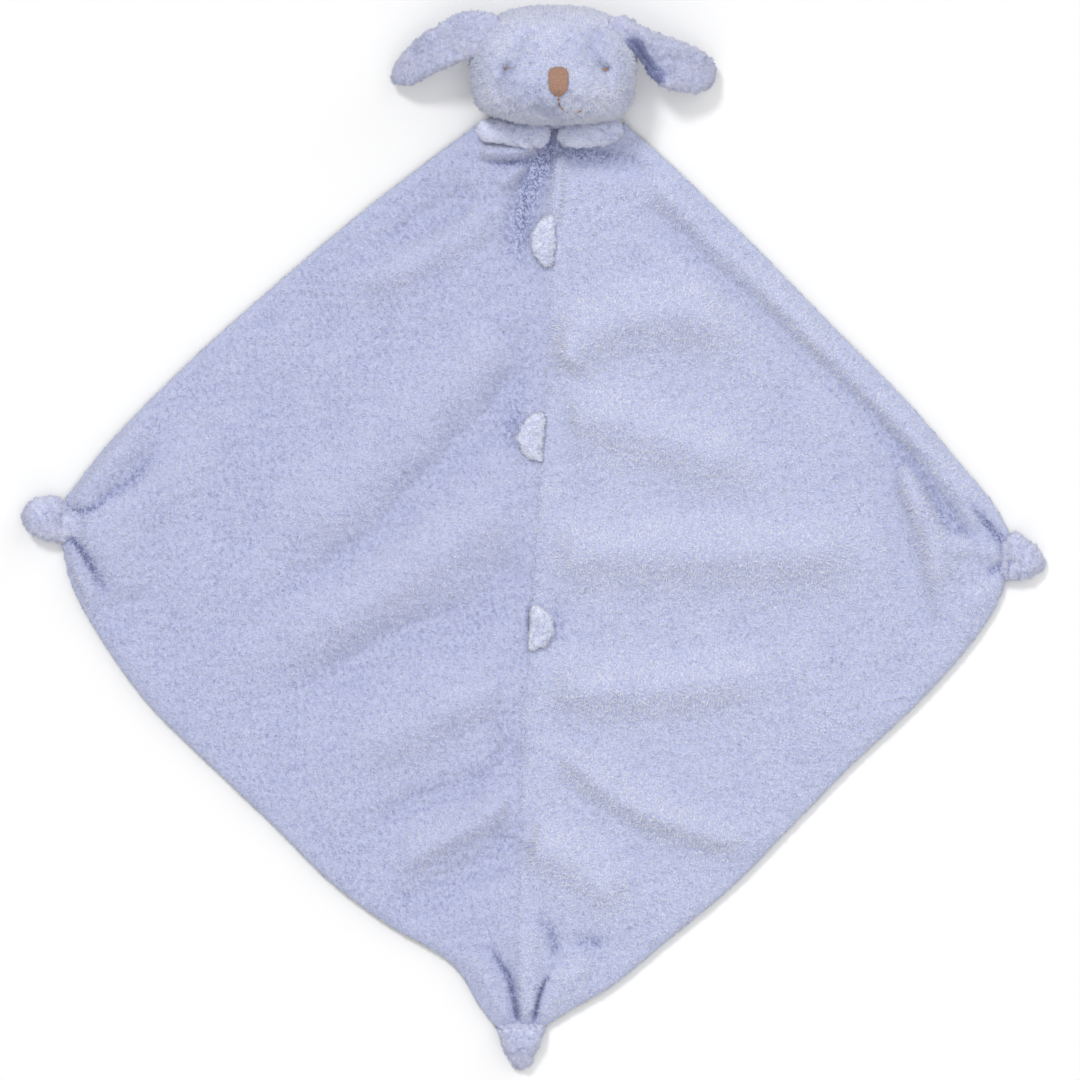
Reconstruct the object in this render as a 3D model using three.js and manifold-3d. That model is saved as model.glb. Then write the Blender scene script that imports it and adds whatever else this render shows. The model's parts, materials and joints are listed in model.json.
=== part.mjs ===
// Comfort blanket lovey: a puppy's head on the corner of a doubled plush blanket, laid flat, face up.
// Millimetres, +Z up. The puppy's crown points along +Y and the blanket's bottom corner along -Y.
import * as THREE from 'three';
import { mergeVertices } from 'three/addons/utils/BufferGeometryUtils.js';
import Module from 'manifold-3d';

const wasm = await Module();
wasm.setup();

// Clearances shared by every piece
const gap = 0.3;
const joint_gap = 0.4;
const overrun = 2;

// Blanket: two front panels over one back panel, sewn round the rim
const half_span = 240;
const back_thick = 3;
const front_thick = 3.4;
const rim_edge = 0.8;
const back_rim_radius = 4;
const front_rim_radius = 6;
const groove_radius = 5;
const groove_depth = 2;
const fold_height = 4;
const fold_width = 15;
const fold_fade = 12;
const tab_hollow = 18;
const corner_hollow = 24;
const seam_allowance_width = 9;
const seam_allowance_thick = 0.8;

// Head: a stuffed ball with a wide chin, its face towards +Z
const head_half_width = 42;
const head_half_length = 30;
const head_half_height = 26;
const head_offset = 9;
const chin_overlap = 0.8;
const cover_thick = 3;
const muzzle_height = 4.5;
const muzzle_half_width = 24;
const muzzle_half_length = 12;
const muzzle_drop = 13;
const eye_pit_depth = 1.6;
const eye_pit_radius = 4.5;
const eye_inset = 17.25;
const eye_shift = 1.5;
const eye_drop = 1.7;
const nose_shift = 2.6;
const nose_drop = 1;
const nose_width = 10;
const nose_length = 14.5;
const nose_thick = 2.4;
const mouth_rise = 6.5;
const smile_width = 14;
const thread_radius = 0.5;
const eye_thread_length = 6;

// Neck: the blanket's top, drawn together behind the paws
const nod_radius = 11.2;
const nod_height = 9.5;
const nod_setback = 4;
const neck_half_width = 31;
const neck_height = 13.4;
const neck_length = 7.4;
const neck_waist = 1.4;
const neck_pleats = 9;

// Paws: two small padded arms that meet under the chin
const paw_half_depth = 6.5;
const paw_half_height = 4.5;
const paw_left_length = 35;
const paw_right_length = 28;
const paw_spread = 8;
const paw_cover_thick = 1.4;
const paw_shift = 2;
const paw_setback = 5;

// Ears: doubled plush, sewn on at the sides of the head
const ear_thick = 6;
const ear_left_length = 42;
const ear_right_length = 47;
const ear_root_half_width = 7.5;
const ear_rise = 10;
const left_ear_setback = 12;
const right_ear_setback = 14;
const ear_edge = 0.5;
const ear_tip_height = 4;

// Tabs: small padded flaps caught in the centre seam
const tab_thick = 4;
const tab_width = 11.5;
const tab_edge = 0.5;
const tab_axis_height = 7.9;
const top_tab_length = 27;
const middle_tab_length = 26;
const bottom_tab_length = 21;

// Corner knots: the blanket's tied and filled corners
const knot_cover_thick = 1.8;
const tie_radius = 0.8;
const tie_half_height = 4.1;
const left_knot = { length: 18.8, half_width: 11, half_height: 8, tie_half_width: 6.6 };
const right_knot = { length: 18, half_width: 10.4, half_height: 7, tie_half_width: 9.6 };
const bottom_knot = { length: 19, half_width: 11.6, half_height: 7, tie_half_width: 10.8 };

// Counts of facets
const edge_steps = 18;
const neck_steps = 2;
const inner_columns = 8;
const head_rings = 16;
const head_sides = 36;
const stuffing_rings = 8;
const stuffing_sides = 20;
const paw_sides = 14;
const knot_sides = 14;
const gather_sides = 16;
const bar_sides = 24;
const ear_steps = 10;
const tab_steps = 10;
const tab_columns = 6;
const tie_steps = 22;
const neck_sides = 40;
const thread_sides = 5;
const nose_sides = 14;
const mouth_steps = 16;
const eye_steps = 8;
const opening_sides = 12;
const paw_room_sides = 24;

// Colours of the plush, its thread and its filling
const plush = { color: 0xb9bedd, roughness: 0.95, metalness: 0 };
const brown_thread = { color: 0xaf8976, roughness: 0.7, metalness: 0 };
const lilac_thread = { color: 0xa8add0, roughness: 0.8, metalness: 0 };
const filling = { color: 0xf1f0ec, roughness: 1, metalness: 0 };

// Turns and share tables, which have no unit
const tab_tilt = THREE.MathUtils.degToRad(15);
const left_ear_turn = THREE.MathUtils.degToRad(205.5);
const right_ear_turn = THREE.MathUtils.degToRad(-28.5);
const left_knot_turn = THREE.MathUtils.degToRad(180);
const right_knot_turn = THREE.MathUtils.degToRad(-8);
const bottom_knot_turn = THREE.MathUtils.degToRad(-90);
const head_power_share = 2.5;
const relief_fade_share = 1.6;
const pleat_share = 0.05;
const jowl_share = 0.45;
const jowl_power_share = 4;
const pole_share = 0.02;
const round_power_share = 2;
const neck_power_share = 3.5;
const knot_power_share = 2.2;
const paw_mouth_share = 0.33;
const ear_droop_share = 0.75;
const ear_turning_share = 0.45;
const tab_end_share = 0.4;
const tab_tip_share = 0.2;

// Points of the seam and of each half's edge, as shares of the blanket's half span
const seam_shares = [
  [0.035, 0.8625], [0.0335, 0.5385], [0.017, 0.226], [-0.006, -0.128], [-0.023, -0.44], [-0.033, -0.711],
  [-0.031, -1.0175],
];
const left_upper_shares = [
  [-0.12, 0.8625], [-0.3375, 0.697], [-0.5375, 0.53], [-0.723, 0.3635], [-0.8875, 0.197], [-0.984, 0.076],
];
const left_lower_shares = [
  [-0.984, 0.0155], [-0.9645, -0.095], [-0.896, -0.22], [-0.804, -0.345], [-0.677, -0.47], [-0.546, -0.595],
  [-0.419, -0.72], [-0.306, -0.803], [-0.171, -0.8865], [-0.1165, -0.97], [-0.081, -1.0175],
];
const right_upper_shares = [
  [0.187, 0.8625], [0.281, 0.78], [0.452, 0.6135], [0.6145, 0.447], [0.779, 0.28], [0.8855, 0.155],
  [0.954, 0.072], [0.9915, 0.003],
];
const right_lower_shares = [
  [0.9795, -0.0845], [0.9615, -0.1365], [0.906, -0.22], [0.794, -0.345], [0.66, -0.47], [0.5375, -0.595],
  [0.4145, -0.72], [0.2645, -0.845], [0.1645, -0.928], [0.073, -0.982], [0.0165, -1.0175],
];
const seam_column_shares = [0, 0.2, 0.5, 1];
const rim_column_shares = [1, 0.55, 0.2, 0];
const back_column_shares = [0, 0.3, 1];
const left_corner_seam_share = 0.43;
const right_corner_seam_share = 0.47;
const corner_seam_step_share = 0.03;

// Folds: each crest runs from one place to another, with its height and width as shares of the fold's size
const left_fold_shares = [
  { from: [-0.04, 0.35], to: [-0.615, -0.107], height: 1, width: 1 },
  { from: [-0.056, -0.003], to: [-0.615, -0.274], height: 1, width: 1.1 },
  { from: [-0.063, -0.347], to: [-0.365, -0.514], height: 0.85, width: 0.9 },
  { from: [-0.063, -0.545], to: [-0.3125, -0.71], height: 0.75, width: 0.6 },
  { from: [-0.115, 0.695], to: [-0.406, 0.5385], height: 0.5, width: 0.55 },
  { from: [-0.105, 0.5], to: [-0.55, 0.4], height: 0.5, width: 1 },
  { from: [-0.93, 0.075], to: [-0.7, 0.22], height: 0.8, width: 0.5 },
  { from: [-0.95, 0.02], to: [-0.78, 0.03], height: 0.8, width: 0.5 },
  { from: [-0.93, -0.03], to: [-0.86, -0.15], height: 0.6, width: 0.4 },
];
const right_fold_shares = [
  { from: [0.035, 0.355], to: [0.167, 0.4445], height: 0.8, width: 0.6 },
  { from: [0.167, 0.4445], to: [0.458, 0.4135], height: 0.8, width: 0.6 },
  { from: [0.073, 0.278], to: [0.6355, 0.143], height: 0.8, width: 0.7 },
  { from: [0.027, -0.003], to: [0.656, 0.007], height: 0.95, width: 0.75 },
  { from: [0.0105, -0.27], to: [0.448, -0.278], height: 0.8, width: 0.75 },
  { from: [0.02, -0.451], to: [0.448, -0.618], height: 0.8, width: 0.65 },
  { from: [-0.0205, -0.649], to: [0.219, -0.743], height: 0.6, width: 0.65 },
  { from: [0.344, 0.674], to: [0.656, 0.361], height: 0.7, width: 0.45 },
  { from: [0.656, 0.361], to: [0.93, 0.06], height: 0.9, width: 0.45 },
  { from: [0.77, 0.08], to: [0.81, -0.17], height: 0.7, width: 0.5 },
  { from: [0.95, -0.045], to: [0.86, -0.08], height: 0.7, width: 0.45 },
];

// Outlines along each padded piece, as shares of its length and of its half width
const paw_shares = [
  [0, 0.25], [0.04, 0.6], [0.12, 0.84], [0.28, 0.9], [0.5, 0.92], [0.68, 1], [0.84, 0.96], [0.94, 0.68],
  [1, 0.2],
];
const round_knot_shares = [
  [0, 0.3], [0.07, 0.62], [0.2, 0.82], [0.4, 0.98], [0.58, 1], [0.76, 0.88], [0.9, 0.6], [1, 0.2],
];
const pointed_knot_shares = [
  [0, 0.45], [0.07, 0.8], [0.18, 0.95], [0.32, 0.92], [0.5, 0.76], [0.7, 0.55], [0.88, 0.4], [1, 0.16],
];
const ear_root_shares = [-1, -0.8, -0.4];
const ear_column_shares = [-1, -0.85, -0.5, 0, 0.5, 0.85, 1];
const ear_width_shares = [
  [0, 1], [0.12, 1.08], [0.3, 1.2], [0.5, 1.3], [0.7, 1.33], [0.85, 1.2], [0.94, 0.9], [1, 0.35],
];
const gather_shares = [[0.62, 0.08], [0.85, 0.54], [1, 0.78]];
const mouth_shares = [[0, 0], [0, 0.32], [0.083, 0.63], [0.25, 1], [0.5, 1], [0.75, 0.9]];
const eye_shares = [-1, -0.5, 0, 0.5, 1];
const eye_sag_share = 0.17;
const nose_shares = [
  [0, 0.16], [0.14, 0.5], [0.34, 0.82], [0.6, 1], [0.82, 0.92], [0.94, 0.66], [1, 0.3],
];

// Small tools for vectors, curves and solids
const vec = (x, y, z) => new THREE.Vector3(x, y, z);
const mix = THREE.MathUtils.lerp;
const clamp = THREE.MathUtils.clamp;
const smooth = (x) => THREE.MathUtils.smoothstep(x, 0, 1);

function table_at(table, share) {
  let i = 1;
  while (i < table.length - 1 && table[i][0] < share) i += 1;
  const [x0, y0] = table[i - 1];
  const [x1, y1] = table[i];
  return mix(y0, y1, clamp((share - x0) / (x1 - x0), 0, 1));
}

// A quarter round: nothing at the edge, full height one radius in
function rounded(distance, radius) {
  const left = 1 - clamp(distance / radius, 0, 1);
  return Math.sqrt(1 - left * left);
}

function mesh_of(positions, indices) {
  const geometry = new THREE.BufferGeometry();
  geometry.setAttribute('position', new THREE.Float32BufferAttribute(positions, 3));
  geometry.setIndex(indices);
  return geometry;
}

// A closed body whose upper skin is a grid of points and whose flat underside spans its two long edges
function skin_over_base(rows, base_z) {
  const across = rows[0].length;
  const positions = [];
  const indices = [];
  for (const row of rows) for (const p of row) positions.push(p.x, p.y, p.z);
  const base = positions.length / 3;
  for (const row of rows) {
    const first = row[0];
    const last = row[across - 1];
    positions.push(first.x, first.y, base_z, last.x, last.y, base_z);
  }
  const top = (i, j) => i * across + j;
  const near = (i) => base + 2 * i;
  const far = (i) => base + 2 * i + 1;
  const count = rows.length;
  for (let i = 0; i < count - 1; i += 1) {
    for (let j = 0; j < across - 1; j += 1) {
      indices.push(top(i, j), top(i, j + 1), top(i + 1, j + 1), top(i, j), top(i + 1, j + 1), top(i + 1, j));
    }
    indices.push(near(i), far(i + 1), far(i), near(i), near(i + 1), far(i + 1));
    indices.push(near(i), top(i, 0), top(i + 1, 0), near(i), top(i + 1, 0), near(i + 1));
    const edge = across - 1;
    indices.push(far(i), top(i + 1, edge), top(i, edge), far(i), far(i + 1), top(i + 1, edge));
  }
  for (const [i, flip] of [[0, false], [count - 1, true]]) {
    const fan = [];
    for (let j = 0; j < across - 1; j += 1) fan.push([near(i), top(i, j + 1), top(i, j)]);
    fan.push([near(i), far(i), top(i, across - 1)]);
    for (const [a, b, c] of fan) indices.push(...(flip ? [a, c, b] : [a, b, c]));
  }
  return facing_out(mesh_of(positions, indices));
}

// A closed body from rings of points, each end closed by a fan round its middle
function loft(rings) {
  const sides = rings[0].length;
  const positions = [];
  const indices = [];
  for (const ring of rings) for (const p of ring) positions.push(p.x, p.y, p.z);
  for (let i = 0; i < rings.length - 1; i += 1) {
    for (let j = 0; j < sides; j += 1) {
      const k = (j + 1) % sides;
      const a = i * sides;
      const b = a + sides;
      indices.push(a + j, a + k, b + k, a + j, b + k, b + j);
    }
  }
  const last_start = (rings.length - 1) * sides;
  for (const [ring, start, flip] of [[rings[0], 0, true], [rings.at(-1), last_start, false]]) {
    const middle = ring.reduce((sum, p) => sum.add(p), vec(0, 0, 0)).divideScalar(sides);
    const centre = positions.length / 3;
    positions.push(middle.x, middle.y, middle.z);
    for (let j = 0; j < sides; j += 1) {
      const k = (j + 1) % sides;
      indices.push(...(flip ? [centre, start + k, start + j] : [centre, start + j, start + k]));
    }
  }
  return facing_out(mesh_of(positions, indices));
}

// A closed ring of thread along a closed run of points
function thread_ring(points, normal, radius, sides) {
  const positions = [];
  const indices = [];
  const count = points.length;
  points.forEach((p, i) => {
    const ahead = points[(i + 1) % count].clone().sub(points[(i + count - 1) % count]).normalize();
    const outward = new THREE.Vector3().crossVectors(ahead, normal);
    for (let j = 0; j < sides; j += 1) {
      const turn = (j / sides) * 2 * Math.PI;
      const at = p.clone().addScaledVector(outward, radius * Math.cos(turn));
      at.addScaledVector(normal, radius * Math.sin(turn));
      positions.push(at.x, at.y, at.z);
    }
  });
  for (let i = 0; i < count; i += 1) {
    for (let j = 0; j < sides; j += 1) {
      const k = (j + 1) % sides;
      const a = i * sides;
      const b = ((i + 1) % count) * sides;
      indices.push(a + j, a + k, b + k, a + j, b + k, b + j);
    }
  }
  return facing_out(mesh_of(positions, indices));
}

// An open thread along a curve
function thread(points, radius, steps, sides) {
  const shape = new THREE.Shape();
  for (let j = 0; j < sides; j += 1) {
    const turn = (j / sides) * 2 * Math.PI;
    const at = [radius * Math.cos(turn), radius * Math.sin(turn)];
    if (j === 0) shape.moveTo(...at);
    else shape.lineTo(...at);
  }
  const path = new THREE.CatmullRomCurve3(points);
  const curved = new THREE.ExtrudeGeometry(shape, { steps, bevelEnabled: false, extrudePath: path });
  return facing_out(merged(curved));
}

function merged(geometry) {
  const plain = geometry.clone();
  plain.deleteAttribute('normal');
  plain.deleteAttribute('uv');
  return mergeVertices(plain, 1e-4);
}

function volume_of(geometry) {
  const p = geometry.attributes.position;
  const index = geometry.index.array;
  const [a, b, c] = [vec(), vec(), vec()];
  let sum = 0;
  for (let i = 0; i < index.length; i += 3) {
    a.fromBufferAttribute(p, index[i]);
    b.fromBufferAttribute(p, index[i + 1]);
    c.fromBufferAttribute(p, index[i + 2]);
    sum += a.dot(b.cross(c));
  }
  return sum / 6;
}

// Turns every face round where the body would be inside out
function facing_out(geometry) {
  if (volume_of(geometry) < 0) geometry.index.array.reverse();
  return geometry;
}

function solid(geometry) {
  const whole = merged(geometry);
  const vertProperties = new Float32Array(whole.attributes.position.array);
  const triVerts = new Uint32Array(whole.index.array);
  return new wasm.Manifold(new wasm.Mesh({ numProp: 3, vertProperties, triVerts }));
}

function geometry_of(body) {
  const { vertProperties, triVerts } = body.getMesh();
  return mesh_of(Array.from(vertProperties), Array.from(triVerts));
}

function node(name, geometry, look) {
  const mesh = new THREE.Mesh(geometry, new THREE.MeshStandardMaterial(look));
  mesh.name = name;
  geometry.computeVertexNormals();
  return mesh;
}

// Runs through a share table's points, placed on the blanket
const on_blanket = (shares) => shares.map(([x, y]) => vec(x * half_span, y * half_span, 0));
const seam = new THREE.CatmullRomCurve3(on_blanket(seam_shares));
const seam_at = (share) => seam.getPointAt(clamp(share, 0, 1));

const halves = {
  left: {
    side: -1,
    upper: new THREE.CatmullRomCurve3(on_blanket(left_upper_shares)),
    lower: new THREE.CatmullRomCurve3(on_blanket(left_lower_shares)),
    corner_share: left_corner_seam_share,
    folds: left_fold_shares,
  },
  right: {
    side: 1,
    upper: new THREE.CatmullRomCurve3(on_blanket(right_upper_shares)),
    lower: new THREE.CatmullRomCurve3(on_blanket(right_lower_shares)),
    corner_share: right_corner_seam_share,
    folds: right_fold_shares,
  },
};

// Rules from the seam to the edge: each has its place on the seam and its place on the edge
function rules(half) {
  const { upper, lower, corner_share } = half;
  const list = [];
  const reach = corner_share + corner_seam_step_share;
  for (let i = 0; i <= edge_steps; i += 1) {
    const share = i / edge_steps;
    list.push({ at_seam: seam_at(share * corner_share), at_edge: upper.getPointAt(share) });
  }
  for (let i = 1; i < neck_steps; i += 1) {
    const share = i / neck_steps;
    const at_edge = upper.getPointAt(1).clone().lerp(lower.getPointAt(0), share);
    list.push({ at_seam: seam_at(mix(corner_share, reach, share)), at_edge });
  }
  for (let i = 0; i <= edge_steps; i += 1) {
    const share = i / edge_steps;
    list.push({ at_seam: seam_at(mix(reach, 1, share)), at_edge: lower.getPointAt(share) });
  }
  return list;
}

// Tabs: where each lies on the seam, how long it is and to which side it falls
const tabs = [
  { name: 'top_tab', seam_share: 0.13, length: top_tab_length, side: -1 },
  { name: 'middle_tab', seam_share: 0.347, length: middle_tab_length, side: -1 },
  { name: 'bottom_tab', seam_share: 0.558, length: bottom_tab_length, side: 1 },
];

function distance_to_line(point, from, to) {
  const line = to.clone().sub(from);
  const share = clamp(point.clone().sub(from).dot(line) / line.lengthSq(), 0, 1);
  return { across: from.clone().lerp(to, share).distanceTo(point), share };
}

// Height that the folds add at a point of one half
function fold_at(point, half, from_seam) {
  let height = 0;
  for (const fold of half.folds) {
    const [from, to] = on_blanket([fold.from, fold.to]);
    const { across } = distance_to_line(point, from, to);
    const spread = across / (fold.width * fold_width);
    height += fold.height * fold_height * Math.exp(-spread * spread);
  }
  for (const tab of tabs) {
    const away = seam_at(tab.seam_share).distanceTo(point) / tab_hollow;
    height *= 1 - Math.exp(-away * away);
  }
  const corner = half.upper.getPointAt(1).lerp(half.lower.getPointAt(0), 0.5);
  height *= smooth(corner.distanceTo(point) / corner_hollow);
  return height * smooth(from_seam / fold_fade);
}

// Columns of a panel's grid: close together at the seam and at the rim, even in between
const seam_columns = seam_column_shares.map((share) => share * groove_radius);
const rim_columns = rim_column_shares.map((share) => share * front_rim_radius);
const panel_base = back_thick + gap;

function front_panel(half) {
  const rows = rules(half).map(({ at_seam, at_edge }) => {
    const start = at_seam.clone();
    start.x += (half.side * gap) / 2;
    const rule = at_edge.clone().sub(start);
    const length = rule.length();
    rule.normalize();
    const near = seam_columns.map((d) => d * Math.min(1, length / (4 * groove_radius)));
    const far = rim_columns.map((d) => length - d * Math.min(1, length / (4 * front_rim_radius)));
    const first = near.at(-1);
    const last = far[0];
    const middle = [];
    for (let i = 1; i < inner_columns; i += 1) middle.push(mix(first, last, i / inner_columns));
    return [...near, ...middle, ...far].map((d) => {
      const point = start.clone().addScaledVector(rule, d);
      const rim = rounded(length - d, front_rim_radius);
      const dip = 1 - clamp(d / groove_radius, 0, 1);
      const full = front_thick - rim_edge + fold_at(point, half, d) - groove_depth * dip * dip;
      point.z = panel_base + rim_edge + rim * Math.max(full, 0);
      return point;
    });
  });
  return skin_over_base(rows, panel_base);
}

// The back panel's flat face lies on the table, and its rim turns up to the seam
function back_panel() {
  const left = rules(halves.left);
  const right = rules(halves.right);
  const rim = back_column_shares.map((share) => share * back_rim_radius);
  const rows = left.map((rule, i) => {
    const l = rule.at_edge;
    const r = right[i].at_edge;
    const across = r.clone().sub(l);
    const limit = Math.min(1, across.length() / (4 * back_rim_radius));
    across.normalize();
    const from_left = rim.map((d) => l.clone().addScaledVector(across, d * limit));
    const from_right = rim.map((d) => r.clone().addScaledVector(across, -d * limit)).reverse();
    return [...from_left, ...from_right].map((point, j) => {
      const d = j < rim.length ? rim[j] : rim[2 * rim.length - 1 - j];
      const turned = rounded(d, back_rim_radius) * (back_thick - rim_edge);
      return vec(point.x, point.y, back_thick - rim_edge - turned);
    });
  });
  return skin_over_base(rows, back_thick);
}

// The two front panels' folded edges, a flat strip along the seam between front and back
function seam_strip(width, low, high, inset) {
  const rings = [];
  const steps = 2 * edge_steps;
  const run = seam.getLength();
  for (let i = 0; i <= steps; i += 1) {
    const share = mix(inset / run, 1 - inset / run, i / steps);
    const at = seam_at(share);
    const side = width / 2;
    rings.push([
      vec(at.x - side, at.y, low), vec(at.x + side, at.y, low),
      vec(at.x + side, at.y, high), vec(at.x - side, at.y, high),
    ]);
  }
  return loft(rings);
}
const strip_low = back_thick + gap;
const strip_high = strip_low + seam_allowance_thick;
const strip_inset = overrun + gap;
const strip = seam_strip(seam_allowance_width, strip_low, strip_high, strip_inset);
const room_width = seam_allowance_width + 2 * gap;
const strip_room = solid(seam_strip(room_width, strip_low - overrun, strip_high + gap, overrun));
const cut_front = (half) => geometry_of(solid(front_panel(half)).subtract(strip_room));

// Head: its centre stands over the neck, and its surface is a squared ball with jowls and a muzzle
const top_y = seam_shares[0][1] * half_span;
const nod_y = top_y - nod_setback;
const head_centre = vec(head_offset, top_y + head_half_length - chin_overlap, head_half_height);
const nod_axis_at = vec(head_offset, nod_y, nod_height);
const eye_reach = head_half_width - eye_inset;
const jowl = (y) => 1 + jowl_share * Math.max(0, -y / head_half_length) ** jowl_power_share;
const bell = (x, y) => Math.exp(-x * x - y * y);

function face_relief(x, y, pits) {
  let relief = muzzle_height * bell(x / muzzle_half_width, (y + muzzle_drop) / muzzle_half_length);
  for (const side of [-1, 1]) {
    const from_eye = x - side * eye_reach - eye_shift;
    relief -= pits * eye_pit_depth * bell(from_eye / eye_pit_radius, (y + eye_drop) / eye_pit_radius);
  }
  return relief;
}

// Height of the face over the head's centre, shrunk inwards by an inset
function face_height(x, y, inset, pits) {
  const reach = (size) => size - inset;
  const shares = [x / jowl(y) / reach(head_half_width), y / reach(head_half_length)];
  const left = 1 - shares.reduce((sum, share) => sum + Math.abs(share) ** head_power_share, 0);
  const rise = Math.max(left, 0) ** (1 / head_power_share);
  return reach(head_half_height) * rise + face_relief(x, y, pits) * smooth(rise * relief_fade_share);
}

function head_body(inset, rings_count, sides, pits) {
  const power = 2 / head_power_share;
  const bend = (value) => Math.sign(value) * Math.abs(value) ** power;
  const rings = [];
  for (let i = 0; i <= rings_count; i += 1) {
    const rise = (mix(pole_share, 1 - pole_share, i / rings_count) - 0.5) * Math.PI;
    const ring = [];
    for (let j = 0; j < sides; j += 1) {
      const turn = (j / sides) * 2 * Math.PI;
      const flat = bend(Math.cos(rise));
      const y = (head_half_length - inset) * flat * bend(Math.sin(turn));
      const x = (head_half_width - inset) * flat * bend(Math.cos(turn)) * jowl(y);
      const z = (head_half_height - inset) * bend(Math.sin(rise));
      const fade = smooth((z / (head_half_height - inset)) * relief_fade_share);
      ring.push(vec(x, y, z + fade * face_relief(x, y, pits)).add(head_centre));
    }
    rings.push(ring);
  }
  return solid(loft(rings));
}

// A round bar along a horizontal axis, wider than what it cuts
function bar(at, direction, radius, length, sides) {
  const geometry = new THREE.CylinderGeometry(radius, radius, length, sides);
  const turn = new THREE.Quaternion().setFromUnitVectors(vec(0, 1, 0), direction);
  geometry.applyQuaternion(turn);
  geometry.translate(at.x, at.y, at.z);
  return solid(geometry);
}
const along_x = vec(1, 0, 0);
const neck_room_length = 2 * (head_half_width + overrun) * (1 + jowl_share);
const neck_room = bar(nod_axis_at, along_x, nod_radius, neck_room_length, bar_sides);
const head_outer = head_body(0, head_rings, head_sides, 1);
const head_inner = head_body(cover_thick, stuffing_rings, stuffing_sides, 0);
const head_cover = head_outer.subtract(head_inner).subtract(neck_room);
const stuffing_neck_room = bar(nod_axis_at, along_x, nod_radius + gap, neck_room_length, bar_sides);
const stuffing_ball = head_body(cover_thick + gap, stuffing_rings, stuffing_sides, 0);
const head_stuffing = stuffing_ball.subtract(stuffing_neck_room);

// A place on the face, given from the head's centre, raised off the plush
function on_face(x, y, lift) {
  return vec(head_centre.x + x, head_centre.y + y, head_centre.z + face_height(x, y, 0, 1) + lift);
}

// Nose: a padded satin stitch, rounded above and drawn to a point below
const nose_low = -nose_drop - nose_length;
function nose() {
  const rings = [];
  for (const [share, width] of nose_shares) {
    const ring = [];
    for (let j = 0; j < nose_sides; j += 1) {
      const turn = (j / nose_sides) * 2 * Math.PI;
      const x = nose_shift + (width * nose_width * Math.cos(turn)) / 2;
      const y = nose_low + share * nose_length;
      const swell = nose_thick * Math.sqrt(width) * Math.max(Math.sin(turn), 0);
      ring.push(on_face(x, y, thread_radius + swell));
    }
    rings.push(ring);
  }
  return loft(rings);
}

function mouth() {
  const lift = 2 * thread_radius + gap;
  const start = nose_low - 3 * thread_radius;
  const low = mouth_rise - head_half_length;
  const points = mouth_shares.map(([across, down]) => {
    return on_face(nose_shift + across * smile_width, mix(start, low, down), lift);
  });
  return thread(points, thread_radius, mouth_steps, thread_sides);
}

function eye_thread(side) {
  const x = eye_shift + side * eye_reach;
  const lift = 2 * thread_radius + gap;
  const half = eye_thread_length / 2;
  const points = eye_shares.map((share) => {
    const sag = (1 - share * share) * eye_sag_share * eye_thread_length;
    return on_face(x + share * half, -eye_drop - sag, lift);
  });
  return thread(points, thread_radius, eye_steps, thread_sides);
}

// A flattened ring of points round an axis, given by its middle and its two half sizes
function oval(middle, across, up, half_width, half_height, sides, power_share) {
  const power = 2 / power_share;
  const bend = (value) => Math.sign(value) * Math.abs(value) ** power;
  const ring = [];
  for (let j = 0; j < sides; j += 1) {
    const turn = ((j + 0.5) / sides) * 2 * Math.PI;
    const at = middle.clone().addScaledVector(across, half_width * bend(Math.cos(turn)));
    ring.push(at.addScaledVector(up, half_height * bend(Math.sin(turn))));
  }
  return ring;
}
const along_y = vec(0, 1, 0);
const up_z = vec(0, 0, 1);

// Paws: each swells from its sewn outer end to its tip, and turns about that outer end
const paw_y = top_y - paw_setback;
const paw_z = panel_base + front_thick + gap + paw_half_height;
const paw_middle = head_offset + paw_shift;
const paws = {
  left: { side: -1, length: paw_left_length },
  right: { side: 1, length: paw_right_length },
};

function paw_body({ side, length }, inset) {
  const outer = paw_middle + side * (paw_spread / 2 + length);
  const rings = paw_shares.map(([share, size]) => {
    const x = outer - side * mix(inset, length - inset, share);
    const shrunk = (half) => (half - inset) * size;
    return oval(vec(x, paw_y, paw_z), along_y, up_z, shrunk(paw_half_depth), shrunk(paw_half_height),
      paw_sides, round_power_share);
  });
  return solid(loft(rings));
}

function paw_cover(paw) {
  const outer = paw_middle + paw.side * (paw_spread / 2 + paw.length);
  const mouth_at = vec(outer, paw_y, paw_z);
  const radius = paw_mouth_share * paw_half_height;
  const opening = bar(mouth_at, along_x, radius, 4 * paw_cover_thick, opening_sides);
  return paw_body(paw, 0).subtract(paw_body(paw, paw_cover_thick)).subtract(opening);
}
const paw_stuffing = (paw) => paw_body(paw, paw_cover_thick + gap);

// Neck gather: the blanket's top in pleats, with a waist for its thread, cut clear of the head and the paws
const waist_y = top_y + neck_length / 2;
const neck_middle_z = gap + neck_height / 2;

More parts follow.
